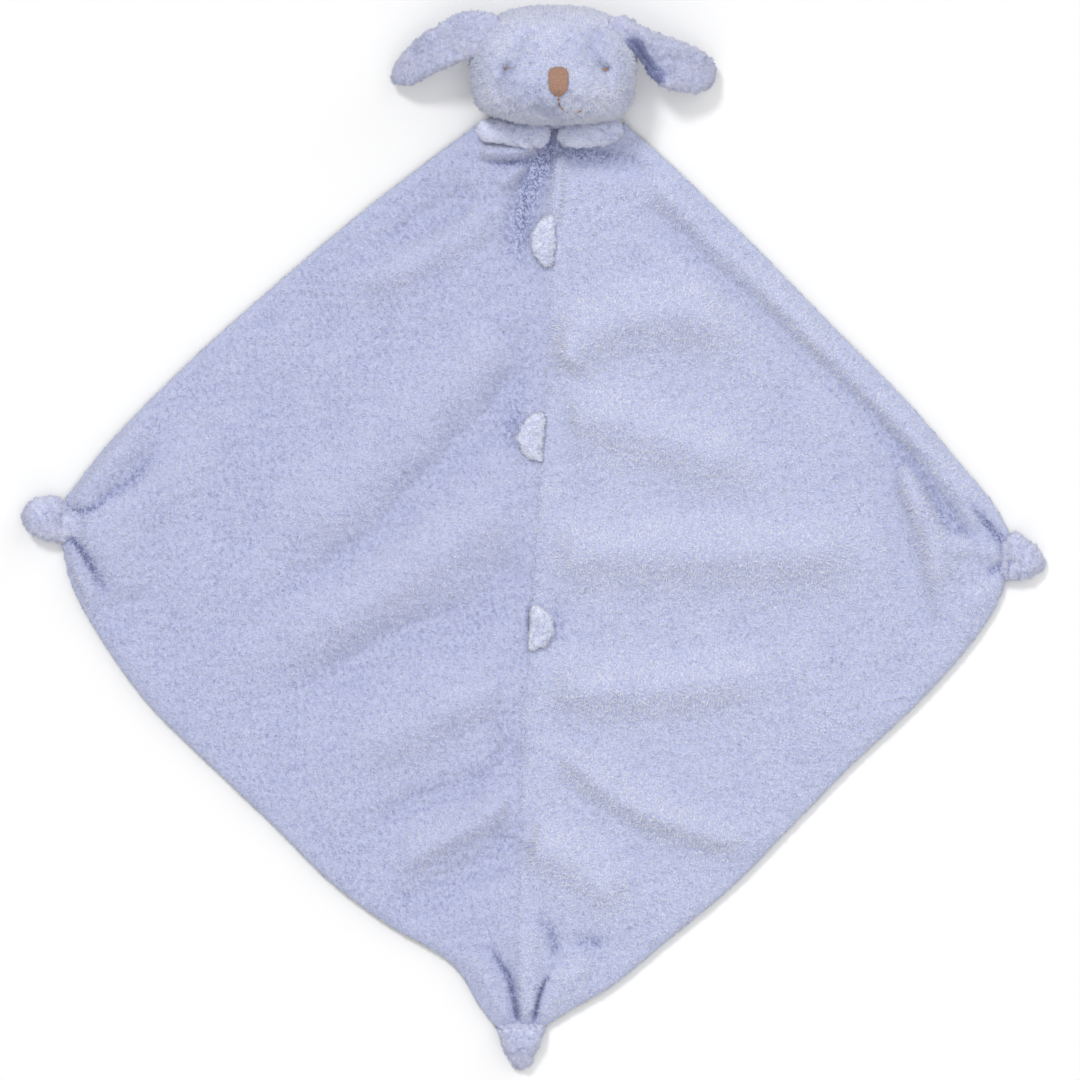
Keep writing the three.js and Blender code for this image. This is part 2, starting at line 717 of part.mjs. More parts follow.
function neck_gather() {
  const waist_length = 2 * (thread_radius + gap);
  const stations = [
    [top_y + gap, 0], [waist_y - waist_length, 0], [waist_y - waist_length / 2, neck_waist],
    [waist_y + waist_length / 2, neck_waist], [waist_y + waist_length, 0], [top_y + neck_length, 0],
  ];
  const rings = stations.map(([y, waist]) => {
    const middle = vec(head_offset, y, neck_middle_z);
    const half_height = neck_height / 2 - waist;
    const ring = oval(middle, along_x, up_z, neck_half_width - waist, half_height, neck_sides,
      neck_power_share);
    return ring.map((p) => {
      const share = (p.x - head_offset) / neck_half_width;
      const pleat = waist > 0 ? 0 : pleat_share * (1 - Math.cos(share * neck_pleats * Math.PI));
      return vec(p.x, p.y, mix(p.z, neck_middle_z, p.z > neck_middle_z ? pleat : 0));
    });
  });
  const paw_room = oval(vec(0, paw_y, paw_z), along_y, up_z, paw_half_depth + joint_gap,
    paw_half_height + joint_gap, paw_room_sides, round_power_share);
  const reach = neck_half_width + overrun;
  const room_rings = [-reach, reach].map((x) => paw_room.map((p) => vec(head_offset + x, p.y, p.z)));
  const ball = bar(nod_axis_at, along_x, nod_radius - joint_gap, 2 * reach, bar_sides);
  return solid(loft(rings)).intersect(ball).subtract(solid(loft(room_rings)));
}

function neck_thread() {
  const middle = vec(head_offset, waist_y, neck_middle_z);
  const out = gap + thread_radius - neck_waist;
  const path = oval(middle, along_x, up_z, neck_half_width + out, neck_height / 2 + out, neck_sides,
    neck_power_share);
  return thread_ring(path, along_y, thread_radius, thread_sides);
}

// Ears: a front and a back panel, each half a lens, drooping from the head's side to the table
const ears = {
  left: { side: -1, setback: left_ear_setback, length: ear_left_length, turn: left_ear_turn },
  right: { side: 1, setback: right_ear_setback, length: ear_right_length, turn: right_ear_turn },
};

function ear_hinge({ side, setback }) {
  const sizes = [head_half_width, head_half_length, head_half_height];
  const back_share = setback / head_half_length;
  const rise_share = ear_rise / head_half_height;
  const left = 1 - back_share ** head_power_share - rise_share ** head_power_share;
  const shares = [left ** (1 / head_power_share), back_share, rise_share];
  const surface = vec(side * shares[0] * sizes[0], setback, ear_rise).add(head_centre);
  const normal = vec(...shares.map((share, i) => share ** (head_power_share - 1) / sizes[i])).normalize();
  normal.x *= side;
  const at = surface.addScaledVector(normal, ear_thick / 2 + joint_gap);
  const out = vec(normal.x, normal.y, 0).normalize();
  const line = vec(-side * out.y, side * out.x, 0);
  return { at, out, line };
}

// Both skins' halves at one row of an ear: its middle, its width and how thick it is there
function ear_rows(ear) {
  const { at, out, line } = ear_hinge(ear);
  const heading = vec(Math.cos(ear.turn), Math.sin(ear.turn), 0);
  const square = vec(-heading.y, heading.x, 0);
  if (square.dot(line) < 0) square.negate();
  const half = ear_thick / 2;
  const rows = ear_root_shares.map((share) => ({
    middle: at.clone().addScaledVector(out, share * half),
    across: line.clone(),
    share: 0,
    full: Math.sqrt(1 - share * share),
  }));
  for (let i = 0; i <= ear_steps; i += 1) {
    const share = i / ear_steps;
    const middle = at.clone().addScaledVector(heading, share * ear.length);
    middle.z = mix(at.z, ear_tip_height, share * mix(ear_droop_share, 1, share));
    const across = line.clone().lerp(square, smooth(share / ear_turning_share)).normalize();
    rows.push({ middle, across, share, full: rounded((1 - share) * ear.length, half) });
  }
  return rows;
}

function ear_panel(ear, face) {
  const half = ear_thick / 2;
  const row_of = ({ middle, across, share, full }, outer) => ear_column_shares.map((q) => {
    const width = ear_root_half_width * table_at(ear_width_shares, share);
    const round = Math.min(full, rounded((1 - Math.abs(q)) * width, half));
    const depth = outer ? ear_edge + (half - ear_edge) * round : gap / 2;
    const point = middle.clone().addScaledVector(across, q * width);
    return point.addScaledVector(up_z, face * depth);
  });
  const skin = (outer) => ear_rows(ear).map((row) => row_of(row, outer));
  return between(skin(true), skin(false));
}

// A closed body between two grids of points that share their outline's order
function between(upper, lower) {
  const across = upper[0].length;
  const count = upper.length;
  const positions = [];
  const indices = [];
  for (const p of [upper, lower].flat(2)) positions.push(p.x, p.y, p.z);
  const at = (layer, i, j) => layer * count * across + i * across + j;
  const square = (a, b, c, d) => indices.push(a, b, c, a, c, d);
  for (let i = 0; i < count - 1; i += 1) {
    for (let j = 0; j < across - 1; j += 1) {
      square(at(0, i, j), at(0, i, j + 1), at(0, i + 1, j + 1), at(0, i + 1, j));
      square(at(1, i, j), at(1, i + 1, j), at(1, i + 1, j + 1), at(1, i, j + 1));
    }
    square(at(0, i, 0), at(0, i + 1, 0), at(1, i + 1, 0), at(1, i, 0));
    square(at(0, i, across - 1), at(1, i, across - 1), at(1, i + 1, across - 1), at(0, i + 1, across - 1));
  }
  for (let j = 0; j < across - 1; j += 1) {
    square(at(0, 0, j), at(1, 0, j), at(1, 0, j + 1), at(0, 0, j + 1));
    square(at(0, count - 1, j), at(0, count - 1, j + 1), at(1, count - 1, j + 1), at(1, count - 1, j));
  }
  return facing_out(mesh_of(positions, indices));
}

// Tabs: half discs of doubled plush, their straight edge in the seam's groove
function tab_hinge(tab) {
  const at = seam_at(tab.seam_share);
  const run = tab.length / seam.getLength() / 2;
  const line = seam_at(tab.seam_share - run).sub(seam_at(tab.seam_share + run)).normalize();
  at.z = tab_axis_height;
  return { at, line };
}

function tab_body(tab) {
  const { at, line } = tab_hinge(tab);
  const flat = vec(line.y, -line.x, 0).multiplyScalar(tab.side);
  const out = flat.clone().multiplyScalar(Math.cos(tab_tilt)).addScaledVector(up_z, Math.sin(tab_tilt));
  const face = new THREE.Vector3().crossVectors(line, out).multiplyScalar(-tab.side);
  const root = tab_thick / 2;
  const skins = [1, -1].map((sign) => {
    const rows = [];
    for (let i = 0; i <= tab_steps; i += 1) {
      const q = -Math.cos((i / tab_steps) * Math.PI);
      const reach = Math.max(tab_width * Math.sqrt(Math.max(1 - q * q, 0)), root * tab_end_share);
      const row = [];
      for (let j = 0; j <= tab_columns; j += 1) {
        const s = (1 - Math.cos((j / tab_columns) * Math.PI)) / 2;
        const d = mix(-root, reach, s);
        const to_tip = ((1 - Math.abs(q)) * tab.length) / 2 + root * tab_tip_share;
        const inside = Math.min(d + root, reach - d, to_tip);
        const depth = tab_edge + (root - tab_edge) * rounded(inside, root);
        const point = at.clone().addScaledVector(line, (q * tab.length) / 2).addScaledVector(out, d);
        row.push(point.addScaledVector(face, sign * depth));
      }
      rows.push(row);
    }
    return rows;
  });
  return between(skins[0], skins[1]);
}

// Corners: a gather through a thread ring, then the filled knot
const tie_z = tie_half_height + tie_radius + gap;
const corner_middle = (a, b) => a.clone().lerp(b, 0.5);
const corners = [
  {
    name: 'left_corner',
    neck: corner_middle(halves.left.upper.getPointAt(1), halves.left.lower.getPointAt(0)),
    turn: left_knot_turn,
    knot: left_knot,
    shares: round_knot_shares,
  },
  {
    name: 'right_corner',
    neck: corner_middle(halves.right.upper.getPointAt(1), halves.right.lower.getPointAt(0)),
    turn: right_knot_turn,
    knot: right_knot,
    shares: pointed_knot_shares,
  },
  {
    name: 'bottom_corner',
    neck: corner_middle(halves.left.lower.getPointAt(1), halves.right.lower.getPointAt(1)),
    turn: bottom_knot_turn,
    knot: bottom_knot,
    shares: pointed_knot_shares,
  },
];

function corner_frame({ neck, turn }) {
  const out = vec(Math.cos(turn), Math.sin(turn), 0);
  const across = vec(out.y, -out.x, 0);
  const at = neck.clone().addScaledVector(out, tie_radius + joint_gap);
  at.z = tie_z;
  return { at, out, across };
}

function knot_body(corner, inset) {
  const { at, out, across } = corner_frame(corner);
  const { length, half_width, half_height } = corner.knot;
  const rings = corner.shares.map(([share, size]) => {
    const middle = at.clone().addScaledVector(out, mix(inset, length - inset, share));
    middle.z = Math.max(gap + half_height * size, tie_z);
    return oval(middle, across, up_z, (half_width - inset) * size, (half_height - inset) * size,
      knot_sides, knot_power_share);
  });
  return solid(loft(rings));
}

function knot_room(corner, extra) {
  const { at, across } = corner_frame(corner);
  const reach = 2 * (corner.knot.half_width + overrun);
  return bar(at, across, tie_half_height + tie_radius + joint_gap + extra, reach, bar_sides);
}

function knot_cover(corner) {
  const hollow = knot_body(corner, 0).subtract(knot_body(corner, knot_cover_thick));
  return hollow.subtract(knot_room(corner, 0));
}
const knot_stuffing = (corner) => knot_body(corner, knot_cover_thick + gap).subtract(knot_room(corner, gap));

function corner_tie(corner) {
  const { at, out, across } = corner_frame(corner);
  const path = oval(at, across, up_z, corner.knot.tie_half_width, tie_half_height, tie_steps,
    round_power_share);
  return thread_ring(path, out, tie_radius, thread_sides);
}

function corner_gather(corner) {
  const { at, out, across } = corner_frame(corner);
  const waist = tie_radius + gap;
  const stations = [
    [joint_gap - tie_radius - gap, waist], [tie_radius + gap, waist], [tie_radius + 3 * gap, 1.5 * gap],
    ...gather_shares.map((row) => row.map((share) => share * tie_half_height)),
  ];
  return loft(stations.map(([along, inset]) => {
    const middle = at.clone().addScaledVector(out, along);
    const width = corner.knot.tie_half_width - inset;
    return oval(middle, across, up_z, width, tie_half_height - inset, gather_sides, round_power_share);
  }));
}

// The whole toy, set over the middle of its own outline
const toy = new THREE.Group();
toy.name = 'comfort_blanket_lovey';
toy.add(
  node('back_panel', back_panel(), plush),
  node('front_left_panel', cut_front(halves.left), plush),
  node('front_right_panel', cut_front(halves.right), plush),
  node('centre_seam_allowance', strip, plush),
  node('neck_gather', geometry_of(neck_gather()), plush),
  node('neck_tie', neck_thread(), lilac_thread),
  node('head_cover', geometry_of(head_cover), plush),
  node('head_stuffing', geometry_of(head_stuffing), filling),
  node('nose_embroidery', nose(), brown_thread),
  node('mouth_thread', mouth(), brown_thread),
  node('left_eye_thread', eye_thread(-1), brown_thread),
  node('right_eye_thread', eye_thread(1), brown_thread),
);
for (const [name, paw] of Object.entries(paws)) {
  toy.add(node(`${name}_paw_cover`, geometry_of(paw_cover(paw)), plush));
  toy.add(node(`${name}_paw_stuffing`, geometry_of(paw_stuffing(paw)), filling));
}
for (const [name, ear] of Object.entries(ears)) {
  toy.add(node(`${name}_ear_front`, ear_panel(ear, 1), plush));
  toy.add(node(`${name}_ear_back`, ear_panel(ear, -1), plush));
}
for (const tab of tabs) toy.add(node(tab.name, tab_body(tab), plush));
for (const corner of corners) {
  toy.add(node(`${corner.name}_gather`, corner_gather(corner), plush));
  toy.add(node(`${corner.name}_tie`, corner_tie(corner), lilac_thread));
  toy.add(node(`${corner.name}_knot`, geometry_of(knot_cover(corner)), plush));
  toy.add(node(`${corner.name}_stuffing`, geometry_of(knot_stuffing(corner)), filling));
}
const outline = new THREE.Box3().setFromObject(toy);
const outline_middle = outline.getCenter(vec(0, 0, 0));
toy.position.set(-outline_middle.x, -outline_middle.y, -outline.min.z);

export default toy;
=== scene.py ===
"""Comfort blanket lovey: plush skins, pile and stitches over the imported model."""

import json
import math

import bmesh
import bpy
import numpy as np
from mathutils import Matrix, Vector
from numpy.linalg import norm


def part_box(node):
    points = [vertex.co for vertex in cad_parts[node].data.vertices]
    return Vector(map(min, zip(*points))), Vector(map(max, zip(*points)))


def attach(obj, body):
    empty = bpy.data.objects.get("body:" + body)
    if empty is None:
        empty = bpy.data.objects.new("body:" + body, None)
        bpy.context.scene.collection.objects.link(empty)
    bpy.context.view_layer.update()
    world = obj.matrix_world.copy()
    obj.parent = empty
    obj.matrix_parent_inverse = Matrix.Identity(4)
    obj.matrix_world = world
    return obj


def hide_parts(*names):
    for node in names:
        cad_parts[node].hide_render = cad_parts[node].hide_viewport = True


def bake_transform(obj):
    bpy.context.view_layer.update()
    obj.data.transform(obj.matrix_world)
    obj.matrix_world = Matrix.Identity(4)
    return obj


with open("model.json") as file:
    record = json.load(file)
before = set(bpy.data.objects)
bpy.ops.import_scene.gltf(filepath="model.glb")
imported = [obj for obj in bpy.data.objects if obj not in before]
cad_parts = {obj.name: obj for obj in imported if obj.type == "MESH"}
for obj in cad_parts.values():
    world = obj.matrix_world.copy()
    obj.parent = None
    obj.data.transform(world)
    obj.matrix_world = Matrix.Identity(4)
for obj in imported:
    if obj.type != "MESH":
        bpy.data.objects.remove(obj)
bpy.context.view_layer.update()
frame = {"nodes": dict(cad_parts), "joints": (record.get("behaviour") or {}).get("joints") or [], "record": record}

MM = 0.001
HALF_SPAN = 240 * MM
BASE_Z = 3.3 * MM
BACK_THICK = 3.0 * MM
FRONT_THICK = 3.4 * MM
RIM_EDGE = 0.8 * MM
RIM_RADIUS = 6.5 * MM
PIXEL = 0.5 * MM
PHOTO_SIDE = 1080
PHOTO_CENTRE = (534.6, 536.7)
LENS = 1200
SENSOR = 36
TINY = 1e-12

joints = {joint["name"]: joint for joint in frame["joints"]}


# Small tools
def smooth(x):
    x = np.clip(x, 0, 1)
    return x * x * (3 - 2 * x)


def mix(a, b, share):
    return a + (b - a) * share


def unit(rows):
    """Each row at length one."""
    return rows / np.maximum(norm(rows, axis=1), TINY)[:, None]


def quarter_round(distance, radius):
    """How far a round edge has risen, from 0 at the edge to 1 at its radius."""
    left = 1 - np.clip(distance / radius, 0, 1)
    return np.sqrt(1 - left * left)


def from_photo(points):
    """Places on the table for points of the photograph."""
    p = np.asarray(points, float)
    x = (p[..., 0] - PHOTO_CENTRE[0]) * PIXEL
    y = (PHOTO_CENTRE[1] - p[..., 1]) * PIXEL
    return np.stack([x, y], -1)


def spline(points, steps=40):
    """A smooth line through points, as many short steps."""
    p = np.asarray(points, float)
    p = np.vstack([2 * p[0] - p[1], p, 2 * p[-1] - p[-2]])
    out = []
    for i in range(1, len(p) - 2):
        a, b, c, d = p[i - 1], p[i], p[i + 1], p[i + 2]
        da, db, dc = (max(norm(v), TINY) ** 0.5 for v in (b - a, c - b, d - c))
        m = ((b - a) / da - (c - a) / (da + db) + (c - b) / db) * db
        n = ((c - b) / db - (d - b) / (db + dc) + (d - c) / dc) * db
        t = np.linspace(0, 1, steps, endpoint=False)[:, None]
        out.append(b + m * t + (-3 * b + 3 * c - 2 * m - n) * t**2 + (2 * b - 2 * c + m + n) * t**3)
    out.append(p[-2][None])
    return np.vstack(out)


def along(line, shares):
    """Points at shares of a line's length."""
    steps = norm(np.diff(line, axis=0), axis=1)
    run = np.concatenate([[0], np.cumsum(steps)])
    run /= run[-1]
    return np.stack([np.interp(shares, run, line[:, k]) for k in range(line.shape[1])], -1)


def line_distance(points, line):
    """Distance of each point to an open line, and how far along the nearest place is."""
    best = np.full(points.shape[:-1], 1e9)
    share = np.zeros(points.shape[:-1])
    lengths = norm(np.diff(line, axis=0), axis=1)
    total = lengths.sum()
    start = 0.0
    for a, b, length in zip(line[:-1], line[1:], lengths):
        d = b - a
        t = np.clip(((points - a) @ d) / max(d @ d, TINY), 0, 1)
        gap = norm(points - (a + t[..., None] * d), axis=-1)
        nearer = gap < best
        best = np.where(nearer, gap, best)
        share = np.where(nearer, (start + t * length) / total, share)
        start += length
    return best, share


def waves(points, sizes, seed):
    """Soft random swells, from a few sums of sines, between about -1 and 1."""
    rng = np.random.default_rng(seed)
    total = np.zeros(points.shape[:-1])
    weight = 0.0
    for size in sizes:
        for _ in range(5):
            direction = rng.normal(size=points.shape[-1])
            direction /= norm(direction)
            turn = rng.uniform(0, 2 * math.pi)
            wave = size * rng.uniform(0.7, 1.4)
            total += size * np.sin((points @ direction) * 2 * math.pi / wave + turn)
            weight += size * size
    return total / math.sqrt(weight)


def linked(name, data):
    """A new object in the scene for a mesh, a lamp or a camera."""
    obj = bpy.data.objects.new(name, data)
    bpy.context.scene.collection.objects.link(obj)
    return obj


def object_of(name, vertices, faces, material=None):
    mesh = bpy.data.meshes.new(name)
    mesh.from_pydata(np.asarray(vertices, float).tolist(), [], [list(map(int, f)) for f in faces])
    mesh.validate()
    mesh.update()
    obj = linked(name, mesh)
    if material is not None:
        mesh.materials.append(material)
    mesh.shade_smooth()
    return obj


def read_rows(items, name, kind=float):
    """One vector of three for each vertex or triangle."""
    values = np.empty(len(items) * 3, kind)
    items.foreach_get(name, values)
    return values.reshape(-1, 3)


def coords(obj):
    return read_rows(obj.data.vertices, "co")


def vertex_normals(obj):
    return read_rows(obj.data.vertices, "normal")


def set_coords(obj, co):
    obj.data.vertices.foreach_set("co", np.asarray(co, float).ravel())
    obj.data.update()


def grid_faces(rows, columns, flip):
    i, j = np.meshgrid(np.arange(rows - 1), np.arange(columns - 1), indexing="ij")
    a = i * columns + j
    quads = np.stack([a, a + 1, a + columns + 1, a + columns], -1).reshape(-1, 4)
    return quads[:, ::-1] if flip else quads


# The photograph's view
camera_data = bpy.data.cameras.new("camera")
camera_data.lens = LENS
camera_data.sensor_width = SENSOR
camera_data.clip_end = 50
camera = linked("camera", camera_data)
middle = from_photo([PHOTO_SIDE / 2, PHOTO_SIDE / 2])
camera.location = (middle[0], middle[1], PHOTO_SIDE * PIXEL / SENSOR * LENS)
bpy.context.scene.camera = camera


# Materials
def linear(rgb):
    """A colour of the photograph, 0 to 255, as the shader counts it."""
    c = np.asarray(rgb, float) / 255
    return tuple(np.where(c <= 0.04045, c / 12.92, ((c + 0.055) / 1.055) ** 2.4)) + (1.0,)


def principled(name, rgb, roughness=0.9, sheen=0.0, sheen_rgb=(255, 255, 255)):
    material = bpy.data.materials.new(name)
    material.use_nodes = True
    shader = material.node_tree.nodes["Principled BSDF"]
    shader.inputs["Base Color"].default_value = linear(rgb)
    shader.inputs["Roughness"].default_value = roughness
    shader.inputs["Specular IOR Level"].default_value = 0.05
    shader.inputs["Sheen Weight"].default_value = sheen
    shader.inputs["Sheen Roughness"].default_value = 0.5
    shader.inputs["Sheen Tint"].default_value = linear(sheen_rgb)
    return material


def grained(name, dark, light, size, bump, roughness=0.95, sheen=0.2):
    """Cloth whose colour and height vary with a fine noise."""
    material = principled(name, light, roughness, sheen)
    tree = material.node_tree
    shader = tree.nodes["Principled BSDF"]
    place = tree.nodes.new("ShaderNodeTexCoord")
    noise = tree.nodes.new("ShaderNodeTexNoise")
    noise.inputs["Scale"].default_value = 1 / size
    noise.inputs["Detail"].default_value = 4
    noise.inputs["Roughness"].default_value = 0.65
    ramp = tree.nodes.new("ShaderNodeValToRGB")
    ramp.color_ramp.elements[0].position = 0.35
    ramp.color_ramp.elements[0].color = linear(dark)
    ramp.color_ramp.elements[1].position = 0.65
    ramp.color_ramp.elements[1].color = linear(light)
    height = tree.nodes.new("ShaderNodeBump")
    height.inputs["Strength"].default_value = 0.6
    height.inputs["Distance"].default_value = bump
    tree.links.new(place.outputs["Object"], noise.inputs["Vector"])
    tree.links.new(noise.outputs["Fac"], ramp.inputs["Fac"])
    tree.links.new(ramp.outputs["Color"], shader.inputs["Base Color"])
    tree.links.new(noise.outputs["Fac"], height.inputs["Height"])
    tree.links.new(height.outputs["Normal"], shader.inputs["Normal"])
    return material


plush = grained("plush_ground", (178, 185, 217), (197, 203, 230), 1.6 * MM, 0.8 * MM)
lilac_thread = grained("lilac_thread", (150, 155, 195), (178, 183, 218), 0.5 * MM, 0.2 * MM)
brown_thread = grained("brown_thread", (147, 111, 95), (189, 153, 133), 0.4 * MM, 0.15 * MM, 0.6, 0.3)
filling = grained("filling", (222, 221, 216), (245, 244, 240), 1.2 * MM, 0.5 * MM)


# Tones of the plush: pale to dark mix at random as its grain; dusk and shade are mostly reached through painted
# shade in creases and recesses.
TONES = {
    "pale": (217, 219, 236), "middle": (208, 211, 231), "deep": (197, 201, 225), "dark": (175, 181, 211),
    "dusk": (160, 166, 201), "shade": (142, 148, 186),
}


PALEST = 253
NAP_SHEEN = 0.04
NAP_SHEEN_RGB = (190, 195, 240)


def shades(name, tint):
    """Six tones of the plush, from pale to shade, for one kind of piece."""
    tones = {tone: np.minimum(np.multiply(rgb, tint), PALEST) for tone, rgb in TONES.items()}
    return [
        principled(f"{name}_nap_{tone}", rgb, sheen=NAP_SHEEN, sheen_rgb=NAP_SHEEN_RGB)
        for tone, rgb in tones.items()
    ]


# Painted light and shade: each kind of piece gets a lighter or darker copy of the same plush tones. The left half
# is painted darker and the right half lighter, as light from the right makes them; the paws are painted lighter
# against the head's shadow, the tabs and the blanket rim lighter as painted highlights; the head and knots are a
# little lighter to offset the shade in their denser pile.
PAINTED_LIGHT_TINTS = {
    "left": (0.975, 0.975, 0.98), "right": (1.022, 1.022, 1.005), "head": (1.03, 1.03, 1.01),
    "limb": (1.0, 1.0, 1.0), "paw": (1.08, 1.085, 1.08), "rim": (1.1, 1.1, 1.06),
    "knot": (1.035, 1.035, 1.03), "tab": (1.09, 1.09, 1.055),
}
tones_of = {name: shades(name, tint) for name, tint in PAINTED_LIGHT_TINTS.items()}

slot_materials = {
    "plush": plush, "brown_thread": brown_thread, "lilac_thread": lilac_thread, "filling": filling,
}
for row in frame["record"]["subparts"]:
    node = frame["nodes"][row["node"]]
    node.data.materials.clear()
    node.data.materials.append(slot_materials[row["material_slot"]])


# Pile: short closed tufts that stand on a skin
LEAN = 0.6
SOFTNESS = 0.6
ROOT_DEPTH = 0.25 * MM
LOWEST_TUFT = 0.1 * MM
CLUMPS = (4 * MM, 2.2 * MM)
BROAD_PATCHES = (25 * MM, 9 * MM)
FINE_PATCHES = (2.6 * MM, 1.9 * MM)
TONE_STEPS = (-0.4, 0.45, 1.15, 1.9, 2.8)
TRIANGLE = (0, 2.0944, 4.1888)


def scattered(skin, count, rng, keep):
    """Places spread evenly over a skin, and the skin's own direction at each."""
    skin.data.calc_loop_triangles()
    co, normals = coords(skin), vertex_normals(skin)
    tris = read_rows(skin.data.loop_triangles, "vertices", int)
    if keep is not None:
        tris = tris[keep(co[tris].mean(1), normals[tris].mean(1))]
    a, b, c = (co[tris[:, k]] for k in range(3))
    area = norm(np.cross(b - a, c - a), axis=1)
    order = np.cumsum(area) / area.sum()
    spots = (np.arange(count) + rng.uniform(size=count)) / count
    chosen = tris[np.minimum(np.searchsorted(order, spots), len(tris) - 1)]
    u, v = rng.uniform(size=(2, count))
    over = u + v > 1
    u, v = np.where(over, 1 - u, u), np.where(over, 1 - v, v)
    weights = np.stack([1 - u - v, u, v], -1)[..., None]
    return (co[chosen] * weights).sum(1), unit((normals[chosen] * weights).sum(1))


def tuft_points(at, up, length, base, rng, seed, trim):
    """Three points round each tuft's foot, and its leaning tip."""
    count = len(at)
    side = unit(np.cross(up, rng.normal(size=(count, 3))))
    other = np.cross(up, side)
    clump = np.stack([waves(at, CLUMPS, seed + k) for k in range(3)], -1)
    tall = length * rng.uniform(0.7, 1.25, count)[:, None]
    if trim is not None:
        tall *= trim(at)[:, None]
    lean_by = LEAN * tall
    tip = at + up * tall * 0.8 + side * lean_by * rng.uniform(0.2, 1, (count, 1)) + clump * lean_by * 0.7
    foot = at - up * ROOT_DEPTH
    wide = base * rng.uniform(0.75, 1.3, count)[:, None]
    ring = [foot + wide * (side * math.cos(t) + other * math.sin(t)) for t in TRIANGLE]
    points = np.stack([*ring, tip], 1)
    points[..., 2] = np.maximum(points[..., 2], LOWEST_TUFT)
    return points


def soften(obj, corners, up):
    """Lights each facet partly as the skin under it, so that the tufts blend."""
    facet = unit(np.cross(corners[:, 1] - corners[:, 0], corners[:, 2] - corners[:, 0]))
    soft = unit(mix(facet, np.repeat(up, 4, axis=0), SOFTNESS))
    obj.data.normals_split_custom_set(np.repeat(soft, 3, axis=0).tolist())


def pile(name, skin, count, seed, tones, length, base, keep=None, nap=None, trim=None):
    """Tufts on the triangles that keep picks, their tones shifted by nap, which paints light and shade into them,
    and shortened by trim.
    """
    rng = np.random.default_rng(seed)
    at, up = scattered(skin, count, rng, keep)
    points = tuft_points(at, up, length, base, rng, seed, trim).reshape(-1, 3)
    first = np.arange(count)[:, None] * 4
    faces = np.stack([first + [0, 1, 3], first + [1, 2, 3], first + [2, 0, 3], first + [0, 2, 1]], 1)
    faces = faces.reshape(-1, 3)
    obj = object_of(name, points, faces)
    for shade in tones_of[tones]:
        obj.data.materials.append(shade)
    soften(obj, points[faces], up)
    patch = waves(at, BROAD_PATCHES, seed + 11) * 0.3 + waves(at, FINE_PATCHES, seed + 12) * 0.45
    patch += rng.normal(size=count) * 0.55
    # nap paints light and shade: it pulls each tuft's random tone paler or darker, and calms the randomness where
    # it darkens.
    if nap is not None:
        pull = nap(at, up)
        patch = patch / (1 + np.maximum(-pull, 0)) - pull
    index = np.digitize(patch, TONE_STEPS)
    obj.data.polygons.foreach_set("material_index", np.repeat(index, 4).astype(np.int32))
    return obj


# Blanket outline, from the same shares as the solid
SEAM = [
    [0.035, 0.8625], [0.0335, 0.5385], [0.017, 0.226], [-0.006, -0.128], [-0.023, -0.44], [-0.033, -0.711],
    [-0.031, -1.0175],
]
LEFT_UPPER = [
    [-0.12, 0.8625], [-0.3375, 0.697], [-0.5375, 0.53], [-0.723, 0.3635], [-0.8875, 0.197], [-0.976, 0.084],
]
LEFT_LOWER = [
    [-0.9846, -0.01], [-0.9645, -0.095], [-0.896, -0.22], [-0.804, -0.345], [-0.677, -0.47], [-0.546, -0.595],
    [-0.419, -0.72], [-0.306, -0.803], [-0.171, -0.8865], [-0.1165, -0.97], [-0.081, -1.0175],
]
RIGHT_UPPER = [
    [0.187, 0.8625], [0.281, 0.78], [0.452, 0.6135], [0.6145, 0.447], [0.779, 0.28], [0.8855, 0.155],
    [0.954, 0.072], [0.9915, 0.003],
]
RIGHT_LOWER = [
    [0.9795, -0.0845], [0.9615, -0.1365], [0.906, -0.22], [0.794, -0.345], [0.66, -0.47], [0.5375, -0.595],
    [0.4145, -0.72], [0.2645, -0.845], [0.1645, -0.928], [0.073, -0.982], [0.0165, -1.0175],
]
LEFT_NECK = [-0.984, 0.04575]
PIN_AHEAD = np.array([-1.2 * MM, 0])
shift = np.array(joints["left_knot_lift"]["pos_m"][:2]) - (np.array(LEFT_NECK) * HALF_SPAN + PIN_AHEAD)
CORNER_GAP = 0.03


def on_blanket(shares):
    """Shares of the half span, moved to where the left corner is."""
    return np.asarray(shares, float) * HALF_SPAN + shift


seam_line = spline(on_blanket(SEAM))
edges = {
    "left": (spline(on_blanket(LEFT_UPPER)), spline(on_blanket(LEFT_LOWER)), 0.43, -1),
    "right": (spline(on_blanket(RIGHT_UPPER)), spline(on_blanket(RIGHT_LOWER)), 0.47, 1),
}
outline = np.vstack([*edges["left"][:2], edges["right"][1][::-1], edges["right"][0][::-1]])
outline_coarse = outline[::6]


def rules(side, rows):
    """Seam and edge ends of each rule across one half."""
    upper, lower, corner, _ = edges[side]
    share = np.linspace(0, 1, rows)
    neck = np.linspace(0, 1, 9)[1:-1]
    past = corner + CORNER_GAP
    at_seam = np.concatenate([share * corner, corner + neck * CORNER_GAP, mix(past, 1, share)])
    bridge = mix(upper[-1][None], lower[0][None], neck[:, None])
    at_edge = np.vstack([along(upper, share), bridge, along(lower, share)])
    return along(seam_line, at_seam), at_edge


# Folds: each is a crest line with its height, its width and how steep its shaded side is
def crest(points, height, width, steep=1.0, fade=0.35):
    """A fold along points of the photograph, in millimetres high and wide."""
    return {"line": spline(from_photo(points), 8), "height": height * MM, "width": width * MM,
            "steep": steep, "fade": fade}


